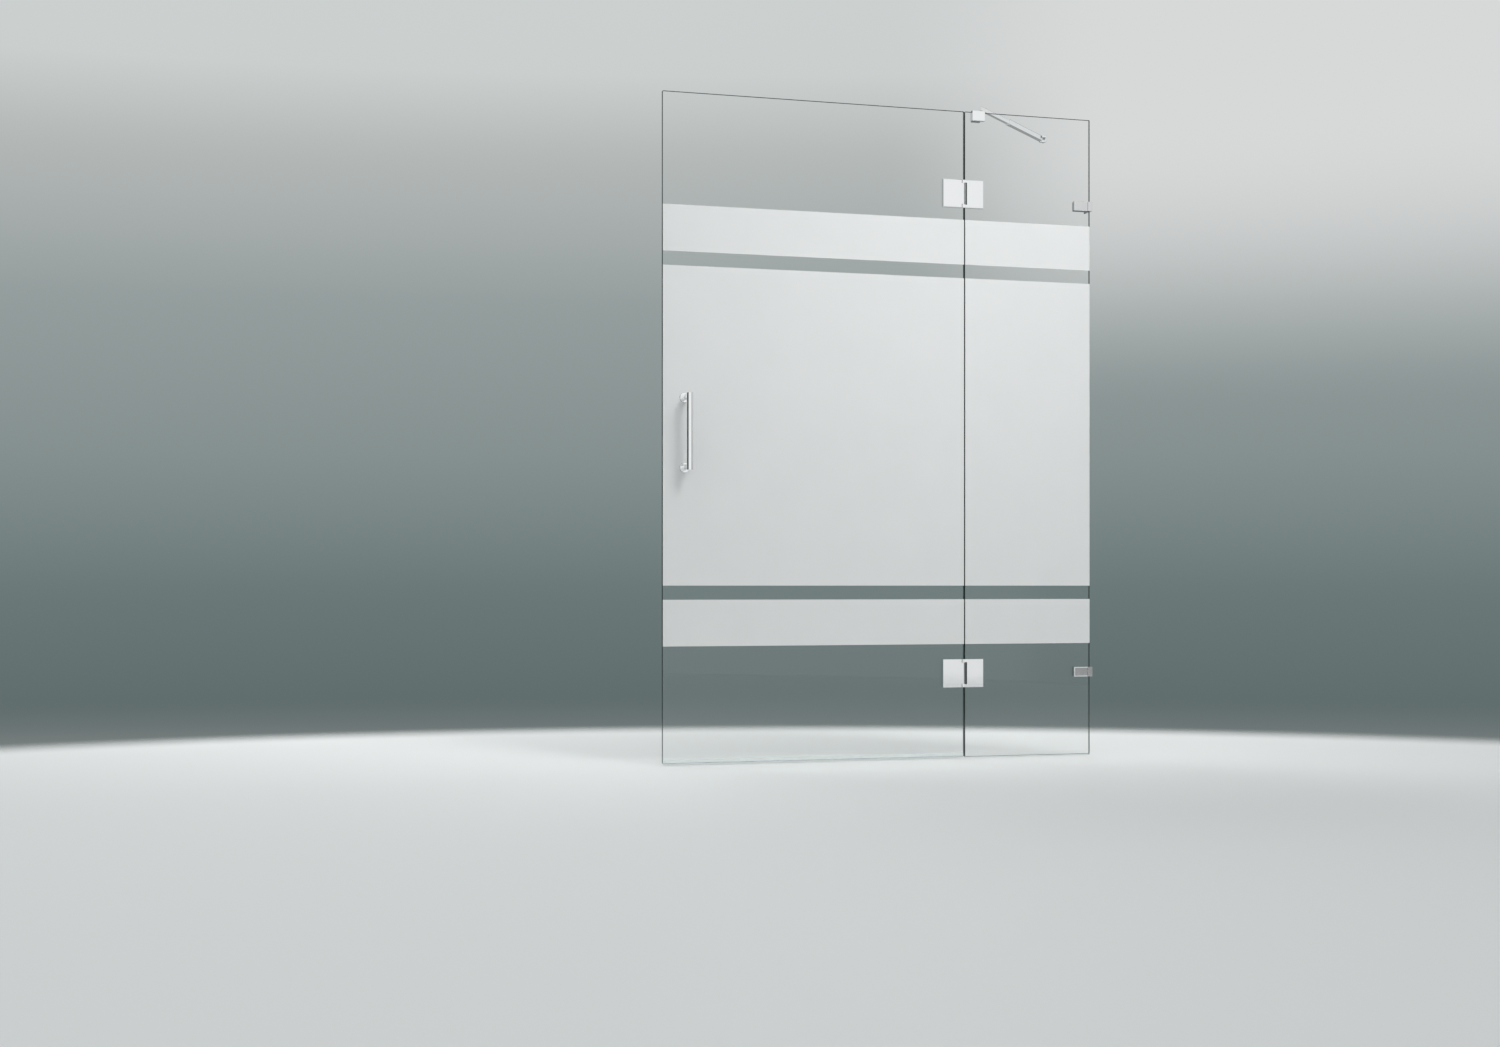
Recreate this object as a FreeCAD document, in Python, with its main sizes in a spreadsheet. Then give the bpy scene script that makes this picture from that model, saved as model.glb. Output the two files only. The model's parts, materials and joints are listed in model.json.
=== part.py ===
import FreeCAD, Part
import os
import re

import Sketcher

# Bath screen: a fixed glass panel that stands on the rim of a bath, and a glass door hung on it.
# The wall is the plane X = 0 and the screen reaches towards minus X. The glass lies in the plane
# Y = 0, with the room on its minus Y side and the bath on its plus Y side. The rim is Z = 0.

# Driving dimensions in millimetres, and one angle in degrees
SIZES = {
    # Glass panes
    "screen_height": 1500,
    "door_width": 722,
    "fixed_width": 318,
    "pane_gap": 2,
    "wall_gap": 4,
    "glass_thick": 8,
    "glass_corner": 1.5,
    "glass_arris": 0.5,
    "door_lift": 4,
    "fixed_lift": 3,
    # Frosted bands
    "film_thick": 0.25,
    "film_gap": 0.5,
    "narrow_band": 104,
    "band_space": 31.5,
    "tall_band_bottom": 400,
    "clear_top": 251.5,
    # Seal under the door
    "seal_fit": 0.1,
    "seal_wall": 1,
    "seal_grip": 9,
    "seal_end": 2,
    "fin_thick": 0.8,
    "fin_lean": 3,
    "rim_clear": 0.8,
    # Plates, gaskets and screws that clamp the glass
    "plate_thick": 6.5,
    "plate_bevel": 1.2,
    "inner_inset": 4.5,
    "gasket_thick": 1,
    "soft_gap": 0.03,
    "screw_radius": 3,
    "head_radius": 5.4,
    "socket_radius": 2.3,
    "socket_depth": 2.4,
    "thread_depth": 4.5,
    "thread_gap": 0.05,
    "tip_gap": 0.5,
    "sleeve_wall": 1.6,
    "sleeve_gap": 0.1,
    "hole_gap": 0.2,
    # Hinges
    "upper_hinge_drop": 192,
    "lower_hinge": 197,
    "hinge_height": 65,
    "hinge_screw_spacing": 36,
    "axis_inset": 4,
    "door_leaf_width": 45.9,
    "door_leaf_recess": 5,
    "fixed_leaf_width": 41.8,
    "fixed_leaf_recess": 8,
    "hinge_slot": 51,
    "hinge_washer": 1,
    "hinge_play": 0.1,
    "pin_radius": 2,
    "pin_inset": 0.5,
    "bush_wall": 0.6,
    "press_gap": 0.02,
    "running_gap": 0.05,
    # Wall brackets
    "upper_bracket_drop": 205,
    "lower_bracket": 197,
    "bracket_height": 22,
    "bracket_reach": 47,
    "bracket_flange": 3,
    "bracket_lip": 11.6,
    "bracket_step": 0.8,
    "bracket_gap": 0.4,
    "bracket_tail": 32,
    "wall_screw_radius": 2.75,
    "wall_screw_place": 22,
    # Handles
    "handle_inset": 51,
    "handle_height": 741,
    "handle_spacing": 156,
    "handle_radius": 7.5,
    "handle_arris": 0.4,
    "handle_leg_radius": 6.8,
    "handle_reach": 45.5,
    "handle_washer_radius": 11.5,
    "handle_washer": 2,
    "stud_depth": 14,
    # Arm clamp
    "clamp_inset": 30.7,
    "clamp_width": 31.9,
    "clamp_back_width": 20,
    "clamp_drop": 21.5,
    "clamp_front": 9,
    "clamp_back": 8,
    "clamp_bevel": 0.6,
    "bridge_thick": 1.6,
    "bridge_gap": 0.2,
    "grub_radius": 2.5,
    "grub_spacing": 10,
    "grub_inset": 1,
    "pivot_shift": 6,
    "pivot_radius": 2.5,
    "pivot_head": 3.6,
    "pivot_depth": 9,
    "pivot_socket": 1.6,
    "pivot_washer_radius": 4.2,
    "pivot_washer": 0.5,
    # Arm rod and tube
    "arm_angle": 44,
    "rod_width": 8.6,
    "rod_height": 10,
    "rod_round": 1,
    "rod_tail": 5,
    "rod_overlap": 80,
    "sleeve_place": 163,
    "tube_wall": 1.3,
    "tube_round": 1.4,
    "slide_gap": 0.1,
    "lock_radius": 2,
    "lock_length": 3,
    "lock_socket": 1,
    "lock_place": 12,
    # Wall foot
    "foot_depth": 10,
    "foot_plate": 20,
    "foot_plate_thick": 3,
    "foot_ear": 4.5,
    "foot_play": 0.1,
    "foot_pin_radius": 2,
    "foot_screw_radius": 2,
    "tongue_thick": 7,
    "tongue_width": 10,
    "shoulder_gap": 6,
    "shoulder_thick": 3,
    "plug_length": 18,
    "plug_fit": 0.05,
    # Length by which a cut runs past the surface it opens
    "overrun": 5,
}

# Places and sizes that follow from the driving dimensions
PLACES = {
    "fixed_left": "-(wall_gap + fixed_width)",
    "door_right": "fixed_left - pane_gap",
    "door_left": "door_right - door_width",
    "glass_face": "glass_thick / 2",
    "seat": "glass_face + gasket_thick",
    "plate_face": "seat + plate_thick",
    "upper_hinge": "screen_height - upper_hinge_drop",
    "upper_bracket": "screen_height - upper_bracket_drop",
    "axis_x": "door_right - axis_inset",
    "axis_y": "-(seat + plate_thick / 2)",
    "knuckle_radius": "plate_thick / 2",
    "tongue_height": "hinge_slot - 2 * (hinge_washer + hinge_play)",
    "door_screw_x": "axis_x - door_leaf_recess - door_leaf_width / 2",
    "fixed_screw_x": "axis_x + fixed_leaf_recess + fixed_leaf_width / 2",
    "hinge_screw_z": "hinge_screw_spacing / 2",
    "bracket_screw_x": "-(bracket_reach + bracket_lip + bracket_gap) / 2",
    "sleeve_radius": "screw_radius + sleeve_gap + sleeve_wall",
    "glass_hole": "sleeve_radius + hole_gap",
    "screw_tip": "seat + thread_depth - tip_gap",
    "tall_band_top": "screen_height - clear_top - narrow_band - band_space",
    "handle_x": "door_left + handle_inset",
    "handle_low": "handle_height - handle_spacing / 2",
    "handle_high": "handle_height + handle_spacing / 2",
    "handle_seat": "glass_face + handle_washer",
    "handle_axis": "glass_face + handle_reach",
    "clamp_place": "wall_gap + fixed_width - clamp_inset",
    "clamp_top": "screen_height + bridge_gap + bridge_thick",
    "clamp_bottom": "screen_height - clamp_drop",
    "grub_level": "screen_height - clamp_drop / 2",
    "pivot_x": "-(clamp_place - pivot_shift)",
    "pivot_y": "-(seat + clamp_front / 2)",
    "rod_level": "clamp_top + pivot_washer + rod_height / 2",
    "arm_span": "(clamp_place - pivot_shift - foot_depth) / cos(arm_angle)",
    "foot_y": "pivot_y + arm_span * sin(arm_angle)",
    "bore_half_width": "rod_width / 2 + slide_gap",
    "bore_half_height": "rod_height / 2 + slide_gap",
    "tube_half_width": "bore_half_width + tube_wall",
    "tube_half_height": "bore_half_height + tube_wall",
    "tube_end": "arm_span - shoulder_gap - shoulder_thick",
    "lock_tip": "rod_height / 2 + slide_gap / 2",
    "foot_slot": "tongue_thick / 2 + foot_play",
}

HINGES = ("upper", "lower")
BRACKETS = ("upper", "lower")
# Heights over the glass's middle plane at which soft pieces start, on each side
ROOM_FACE = "glass_face + soft_gap"
BATH_FACE = "-(glass_face + soft_gap)"
SAME_PLANE = 1e-4

doc = FreeCAD.newDocument("BathScreen")
sheet = doc.addObject("Spreadsheet::Sheet", "Sizes")
for row, (name, number) in enumerate(SIZES.items(), start=1):
    sheet.set(f"A{row}", name)
    sheet.set(f"B{row}", str(number))
    sheet.setAlias(f"B{row}", name)
doc.recompute()

nodes = []
cuts = []


# Names in expressions

def ex(text):
    """Spell out size and place names in an expression, for the sheet to work out."""
    def spell(match):
        word = match.group(0)
        if word in SIZES:
            return f"Sizes.{word}"
        if word in PLACES:
            return f"({ex(PLACES[word])})"
        return word
    return re.sub(r"[a-z][a-z_]*", spell, str(text))


def value(text):
    return float(sheet.evalExpression(ex(text)))


def bind(thing, prop, text):
    thing.setExpression(prop, ex(text))


# Bodies and sketches

def new_body(label, x="0", y="0", z="0", turn=None):
    """Start a piece whose own frame sits at x, y, z, turned about the vertical."""
    body = doc.addObject("PartDesign::Body", label)
    body.Label = label
    body.AllowCompound = True
    for axis, distance in zip("xyz", (x, y, z)):
        bind(body, f"Placement.Base.{axis}", distance)
    if turn is not None:
        body.Placement.Rotation = FreeCAD.Rotation(FreeCAD.Vector(0, 0, 1), value(turn))
        bind(body, "Placement.Rotation.Angle", turn)
    nodes.append(body)
    return body


def sketch_on(body, plane, x="0", y="0", z="0"):
    """Start a sketch on one of the piece's planes, shifted within and off that plane."""
    sketch = body.newObject("Sketcher::SketchObject", f"{body.Label}_sketch")
    support = next(face for face in body.Origin.OriginFeatures if face.Role == f"{plane}_Plane")
    sketch.AttachmentSupport = (support, [""])
    sketch.MapMode = "FlatFace"
    for axis, distance in zip("xyz", (x, y, z)):
        bind(sketch, f"AttachmentOffset.Base.{axis}", distance)
    return sketch


def pin_point(sketch, part, end, x, y):
    """Hold one point of a sketch at a distance from its origin."""
    for kind, text in (("DistanceX", x), ("DistanceY", y)):
        held = sketch.addConstraint(Sketcher.Constraint(kind, -1, 1, part, end, value(text)))
        bind(sketch, f"Constraints[{held}]", text)


def draw_outline(sketch, corners):
    """Draw a closed outline through corners, each a pair of expressions."""
    points = [FreeCAD.Vector(value(x), value(y), 0) for x, y in corners]
    first = sketch.GeometryCount
    for here, there in zip(points, points[1:] + points[:1]):
        sketch.addGeometry(Part.LineSegment(here, there))
    for side, (x, y) in enumerate(corners):
        following = (side + 1) % len(corners)
        sketch.addConstraint(Sketcher.Constraint("Coincident", first + side, 2, first + following, 1))
        pin_point(sketch, first + side, 1, x, y)
    return sketch


def draw_box(sketch, left, right, low, high):
    return draw_outline(sketch, [(left, low), (right, low), (right, high), (left, high)])


def draw_circle(sketch, x, y, radius):
    centre = FreeCAD.Vector(value(x), value(y), 0)
    ring = sketch.addGeometry(Part.Circle(centre, FreeCAD.Vector(0, 0, 1), value(radius)))
    pin_point(sketch, ring, 3, x, y)
    held = sketch.addConstraint(Sketcher.Constraint("Radius", ring, value(radius)))
    bind(sketch, f"Constraints[{held}]", radius)
    return sketch


# Features

def add_feature(body, kind, sketch):
    before = body.Tip
    feature = body.newObject(f"PartDesign::{kind}", f"{body.Label}_{kind.lower()}")
    feature.Profile = sketch
    if kind in ("Pocket", "Groove"):
        cuts.append((body.Label, before, feature))
    return feature


def pad(body, sketch, length, backwards=False):
    """Raise a sketch along its normal."""
    feature = add_feature(body, "Pad", sketch)
    feature.Reversed = backwards
    bind(feature, "Length", length)
    return feature


def pad_both(body, sketch, length):
    """Raise a sketch by half the length to each side."""
    feature = add_feature(body, "Pad", sketch)
    feature.SideType = "Symmetric"
    bind(feature, "Length", length)
    return feature


def cut_both(body, sketch, half_length):
    """Cut a sketch to the same depth on each side of its plane."""
    feature = add_feature(body, "Pocket", sketch)
    feature.SideType = "Symmetric"
    bind(feature, "Length", f"2 * ({half_length})")
    return feature


def turn_profile(body, kind, sketch):
    """Turn a half profile about the sketch's own vertical axis, to add it or to cut it away."""
    feature = add_feature(body, kind, sketch)
    feature.ReferenceAxis = (sketch, ["V_Axis"])
    feature.Angle = 360
    return feature


def dress_edges(body, kind, size, chosen):
    """Round or bevel the edges whose bounding box passes the test."""
    doc.recompute()
    base = body.Tip
    names = [f"Edge{i}" for i, edge in enumerate(base.Shape.Edges, start=1) if chosen(edge.BoundBox)]
    feature = body.newObject(f"PartDesign::{kind}", f"{body.Label}_{kind.lower()}")
    feature.Base = (base, names)
    bind(feature, "Radius" if kind == "Fillet" else "Size", size)
    return feature


def near(number, text):
    return abs(number - value(text)) < SAME_PLANE


# Glass and its film

def glass_pane(label, left, right, bottom, holes):
    """A pane with rounded corners, fine bevels on its edges and round holes for its fittings."""
    body = new_body(label)
    outline = draw_box(sketch_on(body, "XZ"), left, right, bottom, "screen_height")
    pad_both(body, outline, "glass_thick")
    dress_edges(body, "Fillet", "glass_corner", lambda box: near(box.YLength, "glass_thick"))
    dress_edges(body, "Chamfer", "glass_arris", lambda box: box.YLength < SAME_PLANE)
    drilled = sketch_on(body, "XZ")
    for x, z in holes:
        draw_circle(drilled, x, z, "glass_hole")
    cut_both(body, drilled, "glass_face + overrun")


def frosted_bands(label, left, right, fittings):
    """Three level bands of film on the room side, cut round the fittings they meet."""
    body = new_body(label)
    film = sketch_on(body, "XZ", z=ROOM_FACE)
    inner_left = f"{left} + glass_arris"
    inner_right = f"{right} - glass_arris"
    bands = (
        ("tall_band_bottom - band_space - narrow_band", "tall_band_bottom - band_space"),
        ("tall_band_bottom", "tall_band_top"),
        ("tall_band_top + band_space", "tall_band_top + band_space + narrow_band"),
    )
    for low, high in bands:
        draw_box(film, inner_left, inner_right, low, high)
    for x, z in fittings:
        draw_circle(film, x, z, "handle_washer_radius + film_gap")
    pad(body, film, "film_thick")


def hole_sleeves(label, holes):
    """One plastic sleeve in each hole of a pane, round the screw that passes through."""
    body = new_body(label)
    for x, z in holes:
        wall = sketch_on(body, "XY", x=x, z=z)
        draw_box(wall, "screw_radius + sleeve_gap", "sleeve_radius", "-glass_face", "glass_face")
        turn_profile(body, "Revolution", wall)


# Seals

def fixed_seal(label):
    """The strip that the fixed pane stands on."""
    body = new_body(label, x="fixed_left")
    strip = draw_box(sketch_on(body, "YZ"), "-glass_face", "glass_face", "0", "fixed_lift - soft_gap")
    pad(body, strip, "fixed_width")


def door_seal(label):
    """A channel that grips the door's lower edge, with a fin that wipes the rim."""
    body = new_body(label, x="door_left + seal_end")
    inside = "(glass_face + seal_fit)"
    outside = f"({inside} + seal_wall)"
    top = "door_lift + seal_grip"
    floor = "door_lift - seal_fit"
    underside = f"{floor} - seal_wall"
    profile = [
        (f"-{outside}", top),
        (f"-{inside}", top),
        (f"-{inside}", floor),
        (inside, floor),
        (inside, top),
        (outside, top),
        (outside, underside),
        ("fin_thick / 2", underside),
        ("fin_thick / 2 + fin_lean", "rim_clear"),
        ("fin_lean - fin_thick / 2", "rim_clear"),
        ("-fin_thick / 2", underside),
        (f"-{outside}", underside),
    ]
    section = draw_outline(sketch_on(body, "YZ"), profile)
    pad(body, section, "door_width - 2 * seal_end")


# Plates that clamp the glass, and what goes between them

def clamp_plate(label, left, right, height, z, screw_x, screw_levels, joined=None):
    """An outer plate on the room side: face bevelled except where a knuckle joins it, blind threads."""
    body = new_body(label, z=z)
    pad_both(body, draw_box(sketch_on(body, "XY"), left, right, "-plate_face", "-seat"), height)

    def free_front_edge(box):
        at_knuckle = joined is not None and near(box.XMin, joined) and near(box.XMax, joined)
        return near(box.YMax, "-plate_face") and not at_knuckle

    dress_edges(body, "Chamfer", "plate_bevel", free_front_edge)
    drill_threads(body, screw_x, screw_levels)
    return body


def drill_threads(body, screw_x, screw_levels):
    """Blind threaded holes that open towards the glass."""
    threads = sketch_on(body, "XZ")
    for level in screw_levels:
        draw_circle(threads, screw_x, level, "screw_radius + thread_gap")
    cut_both(body, threads, "seat + thread_depth")


def screw_seat(body, screw_x, level):
    """A countersunk hole through an inner plate."""
    neck = "screw_radius + sleeve_gap"
    rim = "head_radius + sleeve_gap"
    profile = [
        ("0", "seat - overrun"),
        (neck, "seat - overrun"),
        (neck, "plate_face - head_radius + screw_radius"),
        (rim, "plate_face"),
        (rim, "plate_face + overrun"),
        ("0", "plate_face + overrun"),
    ]
    hole = draw_outline(sketch_on(body, "XY", x=screw_x, z=level), profile)
    turn_profile(body, "Groove", hole)


def inner_plate(label, left, right, height, z, screw_x, screw_levels):
    """The plate on the bath side, with the seats of the clamp screws."""
    body = new_body(label, z=z)
    pad_both(body, draw_box(sketch_on(body, "XY"), left, right, "seat", "plate_face"), height)
    dress_edges(body, "Chamfer", "plate_bevel", lambda box: near(box.YMin, "plate_face"))
    for level in screw_levels:
        screw_seat(body, screw_x, level)
    return body


def gasket_pair(label, outer, inner, z, screw_x, screw_levels):
    """A thin gasket on each face of the glass, each as large as the plate that presses on it."""
    body = new_body(label, z=z)
    for (left, right, height), face, backwards in ((outer, ROOM_FACE, False), (inner, BATH_FACE, True)):
        sheet_outline = sketch_on(body, "XZ", z=face)
        draw_box(sheet_outline, left, right, f"-({height}) / 2", f"({height}) / 2")
        for level in screw_levels:
            draw_circle(sheet_outline, screw_x, level, "glass_hole")
        pad(body, sheet_outline, "gasket_thick - 2 * soft_gap", backwards)


def clamp_screws(label, z, screw_x, screw_levels):
    """Countersunk screws that pull the inner plate and the outer plate together."""
    body = new_body(label, z=z)
    profile = [
        ("0", "-screw_tip"),
        ("screw_radius", "-screw_tip"),
        ("screw_radius", "plate_face - head_radius + screw_radius"),
        ("head_radius", "plate_face"),
        ("0", "plate_face"),
    ]
    for level in screw_levels:
        half = draw_outline(sketch_on(body, "XY", x=screw_x, z=level), profile)
        turn_profile(body, "Revolution", half)
    for level in screw_levels:
        cut_hexagon(body, "XZ", screw_x, level, "-plate_face", "socket_radius", "socket_depth")


def cut_hexagon(body, plane, x, y, off, radius, depth):
    """A hexagon socket in a screw's head."""
    turns = [60 * corner for corner in range(6)]
    corners = [(f"{x} + {radius} * cos({turn})", f"{y} + {radius} * sin({turn})") for turn in turns]
    socket = draw_outline(sketch_on(body, plane, z=off), corners)
    cut_both(body, socket, depth)


# Hinges

def hinge_outer_door(label, z, levels):
    """The door's outer leaf, with the tongue that reaches the hinge axis."""
    left = "axis_x - door_leaf_recess - door_leaf_width"
    right = "axis_x - door_leaf_recess"
    body = clamp_plate(label, left, right, "hinge_height", z, "door_screw_x", levels, joined=right)
    tongue = draw_box(sketch_on(body, "XY"), right, "axis_x", "-plate_face", "-seat")
    pad_both(body, tongue, "tongue_height")
    knuckle = draw_circle(sketch_on(body, "XY"), "axis_x", "axis_y", "knuckle_radius")
    pad_both(body, knuckle, "tongue_height")
    bore = draw_circle(sketch_on(body, "XY"), "axis_x", "axis_y", "pin_radius + bush_wall + press_gap")
    cut_both(body, bore, "hinge_height")


def hinge_outer_fixed(label, z, levels):
    """The fixed outer leaf, with an ear above and an ear below the slot for the tongue."""
    slot_end = "axis_x + fixed_leaf_recess"
    right = "axis_x + fixed_leaf_recess + fixed_leaf_width"
    holes = (z, "fixed_screw_x", levels)
    body = clamp_plate(label, "axis_x", right, "hinge_height", *holes, joined="axis_x")
    knuckle = draw_circle(sketch_on(body, "XY"), "axis_x", "axis_y", "knuckle_radius")
    pad_both(body, knuckle, "hinge_height")
    slot = sketch_on(body, "XY")
    slot_start = "axis_x - knuckle_radius - overrun"
    draw_box(slot, slot_start, slot_end, "-plate_face - overrun", "-seat + overrun")
    cut_both(body, slot, "hinge_slot / 2")
    bore = draw_circle(sketch_on(body, "XY"), "axis_x", "axis_y", "pin_radius + press_gap")
    cut_both(body, bore, "hinge_height")


def hinge_pin(label, z):
    body = new_body(label, x="axis_x", y="axis_y", z=z)
    section = draw_circle(sketch_on(body, "XY"), "0", "0", "pin_radius")
    pad_both(body, section, "hinge_height - 2 * pin_inset")


def hinge_bush(label, z):
    """The bush that lines the tongue's bore."""
    body = new_body(label, x="axis_x", y="axis_y", z=z)
    wall = sketch_on(body, "XY")
    draw_circle(wall, "0", "0", "pin_radius + running_gap")
    draw_circle(wall, "0", "0", "pin_radius + bush_wall")
    pad_both(body, wall, "tongue_height")


def hinge_washers(label, z):
    """Thrust washers between the tongue and the two ears."""
    body = new_body(label, x="axis_x", y="axis_y", z=z)
    for start, backwards in (("hinge_slot / 2", True), ("-hinge_slot / 2", False)):
        ring = sketch_on(body, "XY", z=start)
        draw_circle(ring, "0", "0", "pin_radius + running_gap")
        draw_circle(ring, "0", "0", "knuckle_radius - hinge_play")
        pad(body, ring, "hinge_washer", backwards)


def build_hinge(place):
    """One glass-to-glass hinge, all its pieces level with the hinge's own centre."""
    z = f"{place}_hinge"
    levels = ("hinge_screw_z", "-hinge_screw_z")
    door_plate = ("axis_x - door_leaf_recess - door_leaf_width", "axis_x - door_leaf_recess")
    fixed_plate = ("axis_x + fixed_leaf_recess", "axis_x + fixed_leaf_recess + fixed_leaf_width")
    hinge_outer_door(f"{place}_hinge_door_leaf", z, levels)
    hinge_outer_fixed(f"{place}_hinge_fixed_leaf", z, levels)
    for side, (left, right) in (("door", door_plate), ("fixed", fixed_plate)):
        outer = (left, right, "hinge_height")
        inner = (f"{left} + inner_inset", f"{right} - inner_inset", "hinge_height - 2 * inner_inset")
        holes = (z, f"{side}_screw_x", levels)
        inner_plate(f"{place}_hinge_{side}_inner_plate", *inner, *holes)
        gasket_pair(f"{place}_hinge_{side}_gaskets", outer, inner, *holes)
        clamp_screws(f"{place}_hinge_{side}_screws", *holes)
    hinge_pin(f"{place}_hinge_pin", z)
    hinge_bush(f"{place}_hinge_bush", z)
    hinge_washers(f"{place}_hinge_washers", z)


# Wall brackets

def bracket_base(label, z):
    """Flange on the wall, lip in front of the glass and leg behind it, in one piece."""
    body = new_body(label, z=z)
    lip_face = "-(plate_face - bracket_step)"
    plan = [
        ("0", "bracket_tail"),
        ("0", lip_face),
        ("-bracket_lip", lip_face),
        ("-bracket_lip", "-seat"),
        ("-bracket_flange", "-seat"),
        ("-bracket_flange", "seat"),
        ("-(bracket_reach - inner_inset)", "seat"),
        ("-(bracket_reach - inner_inset)", "plate_face"),
        ("-bracket_flange", "plate_face"),
        ("-bracket_flange", "bracket_tail"),
    ]
    pad_both(body, draw_outline(sketch_on(body, "XY"), plan), "bracket_height")
    screw_seat(body, "bracket_screw_x", "0")
    bore = draw_circle(sketch_on(body, "YZ"), "wall_screw_place", "0", "wall_screw_radius")
    cut_both(body, bore, "bracket_flange")


def build_bracket(place):
    """One wall bracket that holds the fixed pane's edge between a leg and a plate."""
    z = f"{place}_bracket"
    left = "-bracket_reach"
    right = "-(bracket_lip + bracket_gap)"
    hole = (z, "bracket_screw_x", ("0",))
    outer = (left, "-wall_gap", "bracket_height")
    inner = (f"{left} + inner_inset", "-wall_gap", "bracket_height")
    bracket_base(f"{place}_bracket_base", z)
    clamp_plate(f"{place}_bracket_plate", left, right, "bracket_height", *hole)
    gasket_pair(f"{place}_bracket_gaskets", outer, inner, *hole)
    clamp_screws(f"{place}_bracket_screw", *hole)


# Handles

def handle(label, turn):
    """A straight round bar on two legs, each leg bored for the stud that holds it."""
    body = new_body(label, x="handle_x", turn=turn)
    low_end = "handle_low - handle_radius"
    high_end = "handle_high + handle_radius"
    bar = draw_circle(sketch_on(body, "XY", z=low_end), "0", "-handle_axis", "handle_radius")
    pad(body, bar, "handle_spacing + 2 * handle_radius")

    def end_rim(box):
        return near(box.ZMax, low_end) or near(box.ZMin, high_end)

    dress_edges(body, "Chamfer", "handle_arris", end_rim)
    for level in ("handle_low", "handle_high"):
        leg = draw_circle(sketch_on(body, "XZ", z="handle_seat"), "0", level, "handle_leg_radius")
        pad(body, leg, "handle_axis - handle_seat")
    bores = sketch_on(body, "XZ")
    for level in ("handle_low", "handle_high"):
        draw_circle(bores, "0", level, "screw_radius + thread_gap")
    cut_both(body, bores, "handle_seat + stud_depth")


def handle_washers(label):
    """A wide washer between each leg and the glass, on both faces."""
    body = new_body(label, x="handle_x")
    for face, backwards in ((ROOM_FACE, False), (BATH_FACE, True)):
        for level in ("handle_low", "handle_high"):
            ring = sketch_on(body, "XZ", z=face)
            draw_circle(ring, "0", level, "screw_radius + sleeve_gap")
            draw_circle(ring, "0", level, "handle_washer_radius")
            pad(body, ring, "handle_washer - 2 * soft_gap", backwards)


def handle_studs(label):
    """Threaded studs through the glass that join the outer and inner handles."""
    body = new_body(label, x="handle_x")
    for level in ("handle_low", "handle_high"):
        stud = draw_circle(sketch_on(body, "XZ"), "0", level, "screw_radius")
        pad_both(body, stud, "2 * (handle_seat + stud_depth - tip_gap)")


# Arm: clamp on the top edge of the fixed pane

def arm_clamp(label):
    """A saddle over the glass edge: wide front jaw, thin bridge and narrower back jaw."""
    body = new_body(label, x="-clamp_place")
    front = "-(seat + clamp_front)"
    back = "seat + clamp_back"
    jaw = draw_box(sketch_on(body, "YZ"), front, "-seat", "clamp_bottom", "clamp_top")
    pad_both(body, jaw, "clamp_width")
    dress_edges(body, "Chamfer", "clamp_bevel", lambda box: near(box.YMax, front))
    hook = [
        ("-(seat + bridge_thick)", "screen_height + bridge_gap"),
        ("-(seat + bridge_thick)", "clamp_top"),
        (back, "clamp_top"),
        (back, "clamp_bottom"),
        ("seat", "clamp_bottom"),
        ("seat", "screen_height + bridge_gap"),
    ]
    pad_both(body, draw_outline(sketch_on(body, "YZ"), hook), "clamp_back_width")
    thread = sketch_on(body, "XY", z="clamp_top")
    draw_circle(thread, "pivot_shift", "pivot_y", "pivot_radius + thread_gap")
    cut_both(body, thread, "pivot_depth")
    grubs = sketch_on(body, "XZ", z=f"-({back})")
    for side in ("grub_spacing / 2", "-grub_spacing / 2"):
        draw_circle(grubs, side, "grub_level", "grub_radius + thread_gap")
    cut_both(body, grubs, "clamp_back")


def arm_clamp_pads(label):
    """A pad on each face of the glass, inside the jaws."""
    body = new_body(label, x="-clamp_place")
    sides = (("clamp_width", ROOM_FACE, False), ("clamp_back_width", BATH_FACE, True))
    for width, face, backwards in sides:
        outline = sketch_on(body, "XZ", z=face)
        draw_box(outline, f"-{width} / 2", f"{width} / 2", "clamp_bottom", "screen_height - glass_arris")
        pad(body, outline, "gasket_thick - 2 * soft_gap", backwards)


def arm_grub_screws(label):
    """Two grub screws in the back jaw that press its pad on the glass."""
    body = new_body(label, x="-clamp_place")
    rear = "seat + clamp_back - grub_inset"
    sides = ("grub_spacing / 2", "-grub_spacing / 2")
    for side in sides:
        profile = sketch_on(body, "XY", x=side, z="grub_level")
        turn_profile(body, "Revolution", draw_box(profile, "0", "grub_radius", "seat", rear))
    for side in sides:
        cut_hexagon(body, "XZ", side, "grub_level", f"-({rear})", "pivot_socket", "socket_depth")


def arm_pivot_washer(label):
    body = new_body(label, x="pivot_x", y="pivot_y", z="clamp_top")
    ring = sketch_on(body, "XY")
    draw_circle(ring, "0", "0", "pivot_radius + running_gap")
    draw_circle(ring, "0", "0", "pivot_washer_radius")
    pad(body, ring, "pivot_washer")


def arm_pivot_screw(label):
    """A countersunk screw down through the rod's end into the front jaw."""
    body = new_body(label, x="pivot_x", y="pivot_y", z="rod_level")
    profile = [
        ("0", "clamp_top - rod_level - pivot_depth + tip_gap"),
        ("pivot_radius", "clamp_top - rod_level - pivot_depth + tip_gap"),
        ("pivot_radius", "rod_height / 2 - pivot_head + pivot_radius"),
        ("pivot_head", "rod_height / 2"),
        ("0", "rod_height / 2"),
    ]
    turn_profile(body, "Revolution", draw_outline(sketch_on(body, "XZ"), profile))
    cut_hexagon(body, "XY", "0", "0", "rod_height / 2", "pivot_socket", "socket_depth")


# Arm: rod, tube and wall foot

def draw_bar_section(sketch, half_width, half_height):
    return draw_box(sketch, f"-({half_width})", half_width, f"-({half_height})", half_height)


def long_edges(length):
    return lambda box: near(box.XLength, length)


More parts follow.
